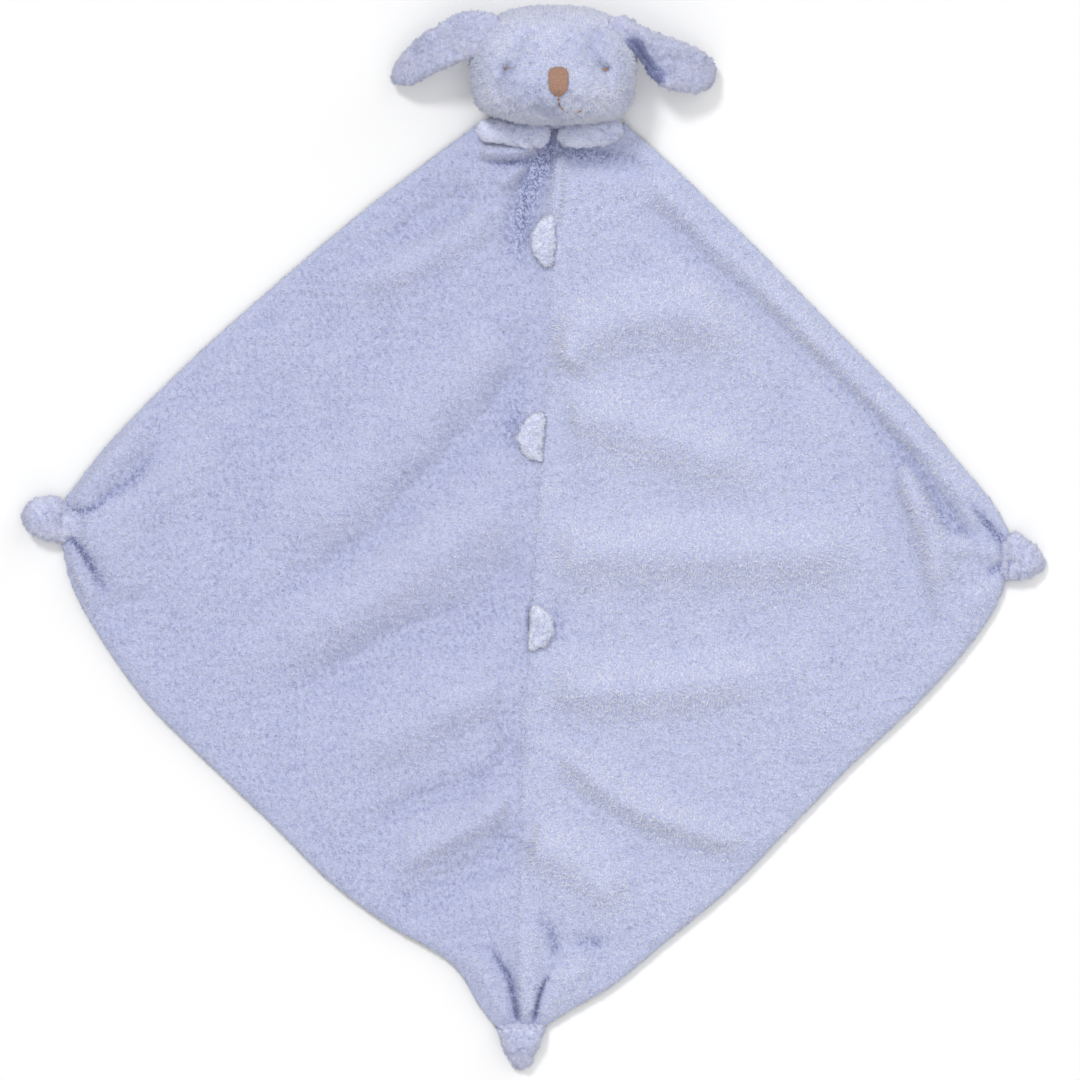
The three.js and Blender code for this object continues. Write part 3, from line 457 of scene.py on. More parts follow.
folds = {
    "left": [
        crest([(506, 330), (460, 375), (420, 415), (375, 462), (320, 515), (262, 560)], 2.6, 19, 1.3),
        crest([(506, 505), (450, 548), (400, 580), (340, 615), (270, 655)], 3.4, 17, 1.3),
        crest([(504, 690), (450, 708), (400, 735), (340, 755)], 2.8, 14, 1.3),
        crest([(508, 800), (465, 828), (425, 848), (386, 874)], 3.0, 9, 1.4),
        crest([(493, 212), (450, 243), (400, 269), (345, 289)], 2.4, 8, 0.9),
        crest([(74, 520), (108, 514), (146, 494), (172, 462), (180, 424)], 2.0, 9, 0.45, 0.4),
        crest([(78, 530), (96, 550), (116, 578), (130, 604)], 1.4, 6, 0.4, 0.3),
    ],
    "right": [
        crest([(556, 374), (575, 342), (605, 324), (645, 313), (690, 314), (722, 332), (750, 356)],
              6.0, 14, 0.9),
        crest([(560, 416), (600, 418), (640, 430), (672, 441), (720, 456), (775, 468)], 5.6, 12, 0.8),
        crest([(548, 549), (600, 550), (667, 550), (750, 550), (870, 548)], 6.2, 13, 0.8, 0.2),
        crest([(547, 681), (600, 688), (650, 688), (720, 680), (790, 672)], 5.0, 13, 1.1),
        crest([(556, 745), (597, 780), (625, 801), (660, 817), (720, 836), (770, 846)], 4.8, 8, 1.1),
        crest([(527, 842), (565, 857), (600, 882), (630, 907)], 4.4, 12, 1.1),
        crest([(900, 462), (920, 505), (934, 545), (944, 600)], 4.2, 7, 1.0, 0.3),
        crest([(1002, 556), (975, 548), (945, 545)], 2.6, 5, 1.2),
        crest([(1000, 584), (985, 596), (965, 612)], 1.6, 5, 1.0),
    ],
    "both": [
        crest([(480, 151), (500, 153), (522, 151), (541, 145)], 3.2, 3.6, 1.4, 0.15),
        crest([(557, 152), (558, 176), (554, 206), (552, 230)], 2.2, 4.0, 1.2),
        crest([(500, 186), (516, 172), (532, 156)], 1.8, 4.0, 1.2),
        crest([(462, 952), (480, 972), (494, 996), (504, 1021)], 1.6, 4.6, 1.0, 0.15),
        crest([(520, 926), (527, 960), (528, 990), (526, 1020)], 2.0, 7.0, 1.0, 0.15),
        crest([(592, 956), (568, 980), (552, 1002), (542, 1022)], 1.6, 6.0, 1.0, 0.15),
    ],
}
hems = [
    crest([(70, 503), (84, 489), (104, 468), (122, 448), (140, 428), (152, 414)], 2.6, 5.5, 0.6, 0.3),
    crest([(64, 542), (74, 562), (86, 586), (98, 612)], 2.0, 4.5, 1.0, 0.3),
    crest([(640, 168), (695, 222), (768, 292), (838, 364), (893, 418), (936, 464), (968, 504), (992, 536)],
          2.2, 5.5, 0.8, 0.1),
]
valleys = [
    crest([(551, 136), (541, 164), (528, 194), (518, 226), (511, 266)], 2.6, 6.5, 0.9, 0.3),
    crest([(566, 150), (590, 157), (620, 162), (656, 176)], 2.0, 5, 0.9, 0.3),
    crest([(524, 352), (497, 412), (455, 455), (410, 500), (372, 542), (320, 575), (262, 618)],
          2.4, 9, 0.8, 0.3),
    crest([(521, 556), (497, 597), (450, 621), (400, 644), (350, 666), (280, 694)], 2.4, 9, 0.8, 0.3),
    crest([(513, 735), (497, 774), (455, 792), (405, 809), (366, 834)], 2.2, 6.5, 0.8, 0.3),
    crest([(515, 832), (496, 860), (462, 877), (436, 893), (405, 916)], 3.0, 7, 0.8, 0.15),
    crest([(478, 190), (440, 215), (408, 232), (380, 246)], 2.2, 6, 0.9, 0.3),
    crest([(630, 196), (700, 260), (753, 304), (800, 350), (847, 394), (888, 436), (924, 482), (948, 520),
           (978, 545)], 2.0, 6.5, 1.0, 0.1),
    crest([(884, 455), (896, 520), (912, 585), (926, 636)], 3.2, 7, 1.0, 0.1),
]
LIGHT_FROM = np.array([-0.72, 0.69])
FOLD_STRENGTH = 1.6


def groove(points, depth, width):
    """A pressed line along points of the photograph. It is deepest at its start."""
    return {"line": spline(from_photo(points), 8), "depth": depth * MM, "width": width * MM}


grooves = [
    groove([(66, 514), (82, 512), (97, 507), (108, 499), (118, 490)], 3.0, 1.7),
    groove([(90, 509), (116, 492), (132, 480), (146, 464), (160, 440), (166, 420)], 1.5, 3.4),
    groove([(66, 534), (72, 540), (79, 547), (88, 560), (97, 576), (112, 604)], 3.2, 1.8),
    groove([(520, 403), (513, 422), (511, 440), (517, 457), (528, 468)], 1.0, 3.4),
    groove([(552, 604), (559, 620), (558, 638), (548, 654)], 0.8, 3.4),
    groove([(529, 606), (529, 642)], 1.2, 1.0),
    groove([(518, 1022), (513.5, 995), (509, 978), (501, 964), (492, 950), (476, 941)], 3.8, 1.35),
    groove([(534, 1022), (540, 994), (546, 980), (557, 965)], 3.8, 1.25),
    groove([(553, 955), (554, 939), (546, 926), (528, 912)], 1.9, 2.6),
    groove([(1010, 554), (998, 537), (987, 524), (974, 508), (963, 484)], 3.4, 1.7),
    groove([(985, 547), (958, 528), (936, 500), (915, 468), (893, 440), (850, 398)], 1.1, 4.5),
    groove([(1010, 562), (992, 571), (980, 580)], 2.6, 1.6),
    groove([(553, 128), (551, 144), (545, 160), (535, 177), (526, 200), (521, 226), (520, 255), (535, 287)],
           3.0, 3.4),
    groove([(548, 156), (530, 161), (502, 163), (474, 158)], 2.8, 2.0),
    groove([(555, 140), (572, 152), (598, 156), (622, 158), (652, 172)], 2.6, 2.4),
    groove([(604, 944), (585, 941), (566, 946)], 1.6, 3.0),
]


def groove_depth(points):
    """The deepest groove at each place: a narrow core in a shallow trough."""
    total = np.zeros(points.shape[:-1])
    for row in grooves:
        gap, share = line_distance(points, row["line"])
        ends = smooth((1 - share) / 0.6) * (0.5 + 0.5 * smooth(share / 0.15))
        across = 0.7 * np.exp(-((gap / row["width"]) ** 2)) + 0.3 * np.exp(-((gap / row["width"] / 3) ** 2))
        total = np.maximum(total, row["depth"] * ends * across)
    return total


def fold_height(points, rows):
    """The sum of the folds at each place, narrower on the side away from the light."""
    total = np.zeros(points.shape[:-1])
    for fold in rows:
        gap, share = line_distance(points, fold["line"])
        foot = along(fold["line"], share.ravel()).reshape(points.shape)
        shaded = ((points - foot) @ LIGHT_FROM) < 0
        width = np.where(shaded, fold["width"] / fold["steep"], fold["width"])
        ends = smooth(share / 0.12) * smooth((1 - share) / fold["fade"]) + 0.2
        total += FOLD_STRENGTH * fold["height"] * np.minimum(ends, 1) * np.exp(-((gap / width) ** 2))
    return total


SIDE_STRENGTH = {"left": 1.1, "right": 0.9}
LEAST_SKIN = {"left": 0.3 * MM, "right": 0.5 * MM}
BROAD_SWELL = 0.5 * MM
BROAD_SIZES = (70 * MM, 40 * MM, 22 * MM)
FINE_SWELL = 0.15 * MM
FINE_SIZES = (9 * MM,)
CALM = {"tab": 16 * MM, "corner": 8 * MM, "seam": 10 * MM, "rim": 14 * MM, "hem": 5 * MM}
SEAM_DIP = 0.5 * MM
SEAM_DIP_WIDTH = 4 * MM
SEAM_DIP_FADE = 60 * MM
SEAM_OVERLAP = 0.4 * MM
SEAM_STEPS = np.array([0, 0.6, 1.4, 2.5, 3.8, 5]) * MM
SEAM_ROOM = 24 * MM
RIM_STEPS = np.array([6.5, 4.6, 3.1, 1.9, 1.0, 0.4, 0.1, 0]) * MM
RIM_ROOM = 26 * MM
BACK_STEPS = np.array([0, 0.25, 0.8, 1.7, 2.8, 4.2]) * MM
BACK_ROOM = 20 * MM
RULES = 150


def place_of(joint):
    return np.array(joints[joint]["pos_m"])


tab_places = [place_of(f"{name}_tab_flip")[:2] for name in ("top", "middle", "bottom")]
bottom_corner = place_of("bottom_knot_lift")[:2]
side_corners = [place_of(f"{side}_knot_lift")[:2] for side in ("left", "right")]


def distance_to(points, place):
    return norm(points - place, axis=-1)


def blanket_height(points, side):
    """Height of the front's skin over its lowest edge."""
    rim, _ = line_distance(points, outline_coarse)
    from_seam, _ = line_distance(points, seam_line[::10])
    lift = fold_height(points, folds[side]) * SIDE_STRENGTH[side]
    lift += BROAD_SWELL * waves(points, BROAD_SIZES, 5) + FINE_SWELL * waves(points, FINE_SIZES, 6)
    for place in tab_places:
        away = distance_to(points, place) / CALM["tab"]
        lift *= 1 - np.exp(-away * away)
    for place in side_corners:
        lift *= smooth(distance_to(points, place) / CALM["corner"])
    lift *= smooth(from_seam / CALM["seam"])
    lift = lift + fold_height(points, folds["both"]) - fold_height(points, valleys)
    lift *= smooth(rim / CALM["rim"]) ** 0.5
    lift += fold_height(points, hems) * smooth(rim / CALM["hem"])
    at_corner = smooth(distance_to(points, bottom_corner) / SEAM_DIP_FADE)
    dip = (1 - np.clip(from_seam / SEAM_DIP_WIDTH, 0, 1)) * at_corner
    full = FRONT_THICK - RIM_EDGE + lift - SEAM_DIP * dip * dip - groove_depth(points)
    return RIM_EDGE + quarter_round(rim, RIM_RADIUS) * np.maximum(full, LEAST_SKIN[side])


def turned(face, flip):
    return [face[0], *face[:0:-1]] if flip else face


def slab_faces(count, across, flip, walls_flip):
    """A grid's faces, with the lid, walls and ends that close it. The lid's points follow the grid's."""
    faces = grid_faces(count, across, flip).tolist()
    lid = count * across
    for i in range(count - 1):
        a, b, c, e = range(lid + 2 * i, lid + 2 * i + 4)
        t, u = i * across, (i + 1) * across
        faces.append(turned([a, c, e, b], flip))
        faces.append(turned([a, t, u, c], walls_flip))
        faces.append(turned([b, e, u + across - 1, t + across - 1], walls_flip))
    for i in (0, count - 1):
        ring = [*range(i * across, (i + 1) * across), lid + 2 * i + 1, lid + 2 * i]
        faces.append(ring if flip == (i == 0) else ring[::-1])
    return faces


def slab(name, grid, lid_z, flip, walls_flip):
    """A closed sheet from its free face, as a grid, and a flat lid at one height."""
    lid = np.stack([grid[:, 0], grid[:, -1]], 1)
    lid[..., 2] = lid_z
    vertices = np.vstack([grid.reshape(-1, 3), lid.reshape(-1, 3)])
    return object_of(name, vertices, slab_faces(*grid.shape[:2], flip, walls_flip), plush)


def front_skin(side, inner=112):
    """One front half: rules from the seam to the rim, with its folds on top."""
    at_seam, at_edge = rules(side, RULES)
    turn = edges[side][3]
    at_seam = at_seam - np.array([turn * SEAM_OVERLAP, 0])
    rule = at_edge - at_seam
    length = norm(rule, axis=1)
    rule /= length[:, None]
    columns = []
    for run in length:
        first = SEAM_STEPS * min(1, run / SEAM_ROOM)
        last = run - RIM_STEPS * min(1, run / RIM_ROOM)
        between = np.linspace(first[-1], last[0], inner)[1:-1]
        columns.append(np.concatenate([first, between, last]))
    points = at_seam[:, None] + rule[:, None] * np.array(columns)[..., None]
    z = BASE_Z + blanket_height(points, side)
    grid = np.concatenate([points, z[..., None]], -1)
    return slab(f"front_{side}_plush", grid, BASE_Z, turn > 0, turn > 0)


front = {side: front_skin(side) for side in ("left", "right")}


# Back panel, flat on the table, its rim turned up to the seam
def back_skin(inner=16):
    left_seam, left_edge = rules("left", RULES)
    _, right_edge = rules("right", RULES)
    edge_z = BACK_THICK - RIM_EDGE
    grid = []
    for l, s, r in zip(left_edge, left_seam, right_edge):
        first = BACK_STEPS * min(1, norm(s - l) / BACK_ROOM)
        rise = quarter_round(first, first[-1] if first[-1] > 0 else 1) * edge_z
        row = []
        for end in (l, r):
            step = (s - end) / norm(s - end)
            flat = [np.append(end + step * d, edge_z - t) for d, t in zip(first, rise)]
            start = end + step * first[-1]
            flat += [np.append(mix(start, s, k / inner), 0) for k in range(1, inner)]
            row.append(flat)
        grid.append(row[0] + [np.append(s, 0)] + row[1][::-1])
    return slab("back_plush", np.array(grid), BACK_THICK, True, False)


back = back_skin()


# Soft solids
LOWEST_SKIN = 0.25 * MM
LOWEST_RING = 0.3 * MM


def facing_out(obj):
    """Turns the faces round where a closed mesh is inside out."""
    obj.data.calc_loop_triangles()
    co = coords(obj)
    tris = read_rows(obj.data.loop_triangles, "vertices", int)
    a, b, c = (co[tris[:, k]] for k in range(3))
    if np.einsum("ij,ij->i", a, np.cross(b, c)).sum() < 0:
        obj.data.flip_normals()
    return obj


def with_ends(rings):
    """The rings' points, then the middle of the first ring and of the last."""
    return np.vstack([rings.reshape(-1, 3), rings[0].mean(0)[None], rings[-1].mean(0)[None]])


def ring_faces(count, sides, start=0):
    """Faces from ring to ring, and a fan to the middle of each end."""
    faces = []
    for i in range(count - 1):
        a, b = start + i * sides, start + (i + 1) * sides
        for j in range(sides):
            k = (j + 1) % sides
            faces.append([a + j, a + k, b + k, b + j])
    middle, last = start + count * sides, start + (count - 1) * sides
    for j in range(sides):
        k = (j + 1) % sides
        faces.append([middle, start + k, start + j])
        faces.append([middle + 1, last + j, last + k])
    return faces


def loft(name, rings):
    """A closed plush body from rings of points."""
    rings = np.asarray(rings, float)
    return facing_out(object_of(name, with_ends(rings), ring_faces(*rings.shape[:2]), plush))


def bend(value, power):
    return np.sign(value) * np.abs(value) ** (2 / power)


def oval(at, across, up, half_width, half_height, sides, power):
    """A ring between an oval (power 2) and a box with round corners."""
    turn = (np.arange(sides) + 0.5) / sides * 2 * math.pi
    a = half_width * bend(np.cos(turn), power)
    b = half_height * bend(np.sin(turn), power)
    return np.asarray(at) + a[:, None] * np.asarray(across) + b[:, None] * np.asarray(up)


def table(shares, share):
    """What a smooth line through the rows gives at each share."""
    line = spline(shares, 12)
    return np.interp(share, line[:, 0], line[:, 1])


# Small unevenness of each kind of skin: its wave lengths and its depth in millimetres
SWELLS = {
    "head": ((26, 13), 0.35), "face": ((6,), 0.1), "paw": ((14, 7), 0.35), "ear": ((16, 8), 0.35),
    "tab": ((9,), 0.25), "knot": ((10, 5), 0.25),
}


def swell(obj, kind, seed, floor_z=LOWEST_SKIN):
    """Small soft unevenness along the skin's own direction."""
    sizes, depth = SWELLS[kind]
    co = coords(obj)
    waviness = waves(co, [size * MM for size in sizes], seed)
    co += vertex_normals(obj) * (waviness * (depth * MM))[:, None]
    co[:, 2] = np.maximum(co[:, 2], floor_z)
    set_coords(obj, co)


FILLING_SCALE = 12
FILLING_STEPS = 16
FILLING_PRESSURE = 4.0
FILLING_MOVE = {"paw": 0.5 * MM, "ear": 0.6 * MM, "knot": 0.5 * MM}


def filled(obj, held, most):
    """Lets cloth over a filling swell a little, held where it is sewn, in a larger copy of the piece."""
    co = coords(obj)
    work = linked("filling_work", obj.data.copy())
    set_coords(work, co * FILLING_SCALE)
    sewn = work.vertex_groups.new(name="sewn")
    sewn.add([int(i) for i in np.flatnonzero(held(co))], 1.0, "REPLACE")
    cloth = work.modifiers.new("cloth", "CLOTH").settings
    cloth.vertex_group_mass = "sewn"
    cloth.use_pressure = True
    cloth.uniform_pressure_force = FILLING_PRESSURE
    cloth.effector_weights.gravity = 0
    cloth.quality = 6
    for step in range(1, FILLING_STEPS + 1):
        bpy.context.scene.frame_set(step)
    done = coords(work.evaluated_get(bpy.context.evaluated_depsgraph_get()))
    move = done / FILLING_SCALE - co
    far = np.maximum(norm(move, axis=1), TINY)
    co += move * np.minimum(1, most / far)[:, None]
    co[:, 2] = np.maximum(co[:, 2], LOWEST_SKIN)
    set_coords(obj, co)
    mesh = work.data
    bpy.data.objects.remove(work)
    bpy.data.meshes.remove(mesh)
    bpy.context.scene.frame_set(1)


# Head
HEAD_HALF = np.array([42, 30, 26]) * MM
HEAD_POWER = 2.5
JOWL = 0.7
NOD_RADIUS = 11.2 * MM
SKIN_INSET = 1.3 * MM
HEAD_FROM_NOD = np.array([0, 33.2, 16.5]) * MM
MUZZLE = {"rise": 4.5 * MM, "down": 13 * MM, "half_width": 24 * MM, "half_length": 12 * MM}
EYES = ((507, 69.5), (605.3, 69.7))
EYE_PITS = ((1.7 * MM, 3.6 * MM, 3 * MM), (1.0 * MM, 1.6 * MM, 1.3 * MM))
# Each dent of the face: its line on the photograph, its depth and its width in millimetres
FACE_DENTS = [
    ([(506, 70), (514, 61), (520, 51), (524, 42)], 1.9, 3.6),
    ([(605, 70), (597, 65), (590, 55), (593, 40)], 2.1, 4),
    ([(503, 78), (497, 90)], 1.8, 2.2),
    ([(610, 80), (609, 92)], 0.7, 2.0),
    ([(559, 96), (559, 105)], 1.5, 1.1),
    ([(559, 105), (565, 112), (575, 114), (582, 111)], 1.3, 1.4),
    ([(558, 105), (551, 111), (541, 112), (533, 107)], 1.1, 1.5),
    ([(558, 116), (558, 128)], 1.6, 4),
    ([(558, 74), (558, 90)], 0.9, 4.5),
]
CHIN_TUCK = {"left": 2.6 * MM, "right": 0.6 * MM}
TUCK_FROM, TUCK_OVER = 12 * MM, 18 * MM
CHIN_FROM, CHIN_OVER = 10 * MM, 16 * MM
NOD_GAP = 0.2 * MM
nod = place_of("head_nod")
head_centre = nod + HEAD_FROM_NOD


def jowl(y):
    """How much wider the head is towards its chin."""
    return 1 + JOWL * np.maximum(0, -y / HEAD_HALF[1]) ** 4


def bell(x, y):
    return np.exp(-x * x - y * y)


def dent(points, line, depth, width):
    gap, _ = line_distance(points, from_photo(line))
    return -depth * MM * np.exp(-((gap / (width * MM)) ** 2))


def face_relief(xy):
    """What the face adds to the plain head, at places over the table."""
    x, y = xy[..., 0] - head_centre[0], xy[..., 1] - head_centre[1]
    relief = MUZZLE["rise"] * bell(x / MUZZLE["half_width"], (y + MUZZLE["down"]) / MUZZLE["half_length"])
    for eye in EYES:
        at = from_photo(eye)
        for depth, half_width, half_length in EYE_PITS:
            over = bell((xy[..., 0] - at[0]) / half_width, (xy[..., 1] - at[1]) / half_length)
            relief = relief - depth * over
    for line, depth, width in FACE_DENTS:
        relief = relief + dent(xy, line, depth, width)
    return relief


def face_height(xy):
    x, y = xy[..., 0] - head_centre[0], xy[..., 1] - head_centre[1]
    a = np.abs(x / jowl(y) / HEAD_HALF[0]) ** HEAD_POWER + np.abs(y / HEAD_HALF[1]) ** HEAD_POWER
    rise = np.maximum(1 - a, 0) ** (1 / HEAD_POWER)
    return head_centre[2] + HEAD_HALF[2] * rise + face_relief(xy) * smooth(rise * 1.6)


def head_skin():
    """A rounded box with jowls, the face pressed into it, and the neck's joint left free."""
    mesh = bpy.data.meshes.new("head_plush")
    bm = bmesh.new()
    bmesh.ops.create_icosphere(bm, subdivisions=7, radius=1)
    bm.to_mesh(mesh)
    bm.free()
    mesh.materials.append(plush)
    mesh.shade_smooth()
    obj = linked("head_plush", mesh)
    d = coords(obj)
    half = HEAD_HALF - SKIN_INSET
    reach = (np.abs(d / half) ** HEAD_POWER).sum(1) ** (-1 / HEAD_POWER)
    p = d * reach[:, None]
    rise = smooth(p[:, 2] / half[2] * 1.6)
    p[:, 0] *= jowl(p[:, 1])
    tuck = np.where(p[:, 0] < 0, CHIN_TUCK["left"], CHIN_TUCK["right"])
    tuck *= smooth((np.abs(p[:, 0]) - TUCK_FROM) / TUCK_OVER)
    p[:, 1] += tuck * smooth((-p[:, 1] - CHIN_FROM) / CHIN_OVER)
    world = p + head_centre
    world[:, 2] += face_relief(world[:, :2]) * rise
    set_coords(obj, world)
    swell(obj, "head", 21)
    swell(obj, "face", 22)
    world = coords(obj)
    out = world[:, 1:] - nod[1:]
    r = norm(out, axis=1)
    clear = NOD_RADIUS + NOD_GAP
    near = r < clear
    world[near, 1:] = nod[1:] + out[near] / r[near, None] * clear
    world[:, 2] = np.maximum(world[:, 2], LOWEST_SKIN)
    set_coords(obj, world)
    return obj


head = head_skin()


def on_face(points, lift):
    xy = from_photo(points)
    return np.concatenate([xy, (face_height(xy) + lift)[..., None]], -1)


def tube(points, radius, sides=8, taper=0.35):
    """Rings round a line in space, thin at its ends."""
    p = spline(points, 5)
    ahead = unit(np.gradient(p, axis=0))
    side = unit(np.cross(ahead, (0, 0, 1.0)))
    up = np.cross(side, ahead)
    share = np.linspace(0, 1, len(p))
    fat = radius * np.maximum(taper, np.minimum(1, np.minimum(share, 1 - share) * 8) ** 0.5)
    turn = (np.arange(sides) / sides * 2 * math.pi)[None, :, None]
    return p[:, None] + fat[:, None, None] * (side[:, None] * np.cos(turn) + up[:, None] * np.sin(turn))


def threads(name, runs, radius):
    """Several stitches in one piece."""
    vertices, faces, start = [], [], 0
    for run in runs:
        rings = tube(run, radius)
        count, sides = rings.shape[:2]
        vertices.append(with_ends(rings))
        faces += ring_faces(count, sides, start)
        start += count * sides + 2
    return facing_out(object_of(name, np.vstack(vertices), faces, brown_thread))


# Nose, mouth and eyes in thread
NOSE_OUTLINE = [
    [0, 0.08], [0.05, 0.26], [0.1, 0.52], [0.18, 0.8], [0.33, 0.95], [0.55, 1.0], [0.8, 1.0], [0.93, 0.9],
    [1, 0.66],
]
NOSE = {"low": 98.2, "high": 68.3, "middle": 558.3, "half": 9.4}
NOSE_SWELL = 2.1 * MM
NOSE_SINK = -0.4 * MM
NOSE_STITCHES = 19
NOSE_THREAD = 0.46 * MM
FACE_THREAD = 0.4 * MM
# Each run of stitches: its points on the photograph, and how far it stands off the face in millimetres
FACE_RUNS = {
    "mouth": [
        ([(558.6, 97), (558.6, 101), (558.9, 105.5)], 0.1),
        ([(559, 105.5), (561.5, 109.5), (565.5, 112.4)], -0.3),
        ([(565.5, 112.4), (571, 114), (577, 113.6)], -1.8),
        ([(576.5, 113.6), (579, 112.9), (581.5, 111.6)], -0.2),
        ([(558.4, 105.5), (553, 109.5), (546, 112)], -2.6),
        ([(546, 112), (539, 111.5), (533, 108)], -2.6),
    ],
    "left_eye": [
        ([(503.8, 69), (506.5, 70.4), (509.5, 69.2)], 0),
        ([(505, 70.6), (507, 71.4), (508.8, 70.6)], -0.3),
    ],
    "right_eye": [
        ([(602.4, 69.2), (605.5, 70.6), (608.6, 69.6)], 0),
        ([(603.5, 70.8), (605.5, 71.6), (607.6, 70.8)], -0.3),
    ],
}


def nose_stitches():
    """Long stitches side by side, crowned across the nose."""
    runs = []
    for k in range(NOSE_STITCHES):
        q = -1 + 2 * (k + 0.5) / NOSE_STITCHES
        share = np.linspace(0.0, 1.0, 9)
        top = 1 - 0.08 * abs(q) ** 4
        y = mix(NOSE["low"], NOSE["high"], share * top)
        x = NOSE["middle"] + q * table(NOSE_OUTLINE, share * top) * NOSE["half"]
        run = on_face(np.stack([x, y], -1), NOSE_SINK)
        crown = NOSE_SWELL * np.sqrt(np.maximum(1 - q * q, 0))
        run[:, 2] += crown * smooth(share * 5) * smooth((1 - share) * 5)
        runs.append(run)
    return threads("nose_stitches", runs, NOSE_THREAD)


nose = nose_stitches()
mouth, left_eye, right_eye = (
    threads(f"{name}_stitches", [on_face(points, lift * MM) for points, lift in runs], FACE_THREAD)
    for name, runs in FACE_RUNS.items()
)


# Paws
PAW_SHARES = [
    [0, 0.25], [0.04, 0.6], [0.12, 0.84], [0.28, 0.93], [0.5, 0.95], [0.68, 1], [0.84, 0.96], [0.94, 0.7],
    [1, 0.2],
]


PAW_HALF_WIDTH = 6.5 * MM - 0.6 * MM
PAW_HALF_HEIGHT = 4.5 * MM - 0.5 * MM
PAW_LIFT = 2 * MM
PAW_LONGER = {"left": 0, "right": 3 * MM}
PAW_SEWN = 3 * MM


def paw_skin(side, seed):
    """A padded bar that runs in from its outer end, which is bent up a little."""
    low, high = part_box(f"{side}_paw_cover")
    at = place_of(f"{side}_paw_swing")
    at[0], turn = (low.x, 1) if side == "left" else (high.x, -1)
    length = high.x - low.x + PAW_LONGER[side]
    rings = []
    for share in (1 - np.cos(np.linspace(0, math.pi, 40))) / 2:
        size = float(table(PAW_SHARES, share))
        centre = at + np.array([turn * share * length, PAW_LIFT * (1 - smooth(share / 0.7)), 0])
        half_width, half_height = PAW_HALF_WIDTH * size, PAW_HALF_HEIGHT * size
        rings.append(oval(centre, (0, 1, 0), (0, 0, 1), half_width, half_height, 40, 2.3))
    obj = loft(f"{side}_paw_plush", rings)
    swell(obj, "paw", seed)
    return obj


paws = {"left": paw_skin("left", 31), "right": paw_skin("right", 32)}
for skin in paws.values():
    ends = coords(skin)[:, 0].min() + PAW_SEWN, coords(skin)[:, 0].max() - PAW_SEWN
    filled(skin, lambda co: (co[:, 0] < ends[0]) | (co[:, 0] > ends[1]), FILLING_MOVE["paw"])


# Neck: the gathered cloth between the blanket and the head
NECK_HALF_WIDTH = 31
NECK_HALF_HEIGHT = 6.4
NECK_Z = 7 * MM
NECK_FROM_NOD = 4
NECK_CLEAR = 10.6 * MM
NECK_PLEATS = 11
# Each ring: how far it is past the start, and how much slimmer it is, in millimetres
NECK_RINGS = (
    (-1.6, 0.8), (0.6, 0.2), (2.2, 0.3), (3.4, 1.3), (4.4, 1.4), (6, 0.6), (7.6, 0.2), (9.4, 0.8),
)


def neck_skin():
    rings = []
    for y, waist in NECK_RINGS:
        at = np.array([nod[0], nod[1] + (NECK_FROM_NOD + y) * MM, NECK_Z])
        wide, tall = (NECK_HALF_WIDTH - waist) * MM, (NECK_HALF_HEIGHT - waist) * MM
        ring = oval(at, (1, 0, 0), (0, 0, 1), wide, tall, 160, 3.5)
        share = (ring[:, 0] - nod[0]) / (NECK_HALF_WIDTH * MM)
        pleat = 0.12 * (1 - np.cos(share * NECK_PLEATS * math.pi)) / 2
        ring[:, 2] = mix(ring[:, 2], at[2], pleat)
        r = norm(ring[:, 1:] - nod[1:], axis=1)
        far = r > NECK_CLEAR
        ring[far, 1:] = nod[1:] + (ring[far, 1:] - nod[1:]) / r[far, None] * NECK_CLEAR
        ring[:, 2] = np.maximum(ring[:, 2], LOWEST_RING)
        rings.append(ring)
    return loft("neck_plush", rings)


neck = neck_skin()


# Ears
EARS = {
    "left": {
        "upper": [
            (503, 26), (496, 18), (484, 13.5), (470, 12.5), (450, 19), (420, 39), (400, 59), (393, 70),
            (392.5, 77),
        ],
        "lower": [
            (486, 50), (475, 57), (462, 61), (440, 71.5), (424, 79), (408, 84), (399, 84), (394, 81.5),
            (392.5, 77),
        ],
        "drop": 3.0 * MM,
    },
    "right": {
        "upper": [
            (606, 27), (612, 20), (624, 17.5), (638, 25.5), (658, 35), (688, 45.5), (705, 54), (714, 64),
            (715.5, 75),
        ],
        "lower": [
            (624, 44), (632, 50), (641, 60), (650, 74), (661, 84.5), (677, 92), (694, 94), (708, 88),
            (715.5, 75),
        ],
        "drop": 9.0 * MM,
    },
}
EAR_HALF = 3.0 * MM
EAR_TIP_Z = 4.6 * MM
EAR_CREASE = 1.1 * MM
EAR_ROLL = 0.9 * MM
EAR_FLOOR = 0.4 * MM
EAR_RIM = 3.6 * MM
EAR_LENGTH = 46 * MM
EAR_TIP = 4 * MM
EAR_SEWN = 12 * MM


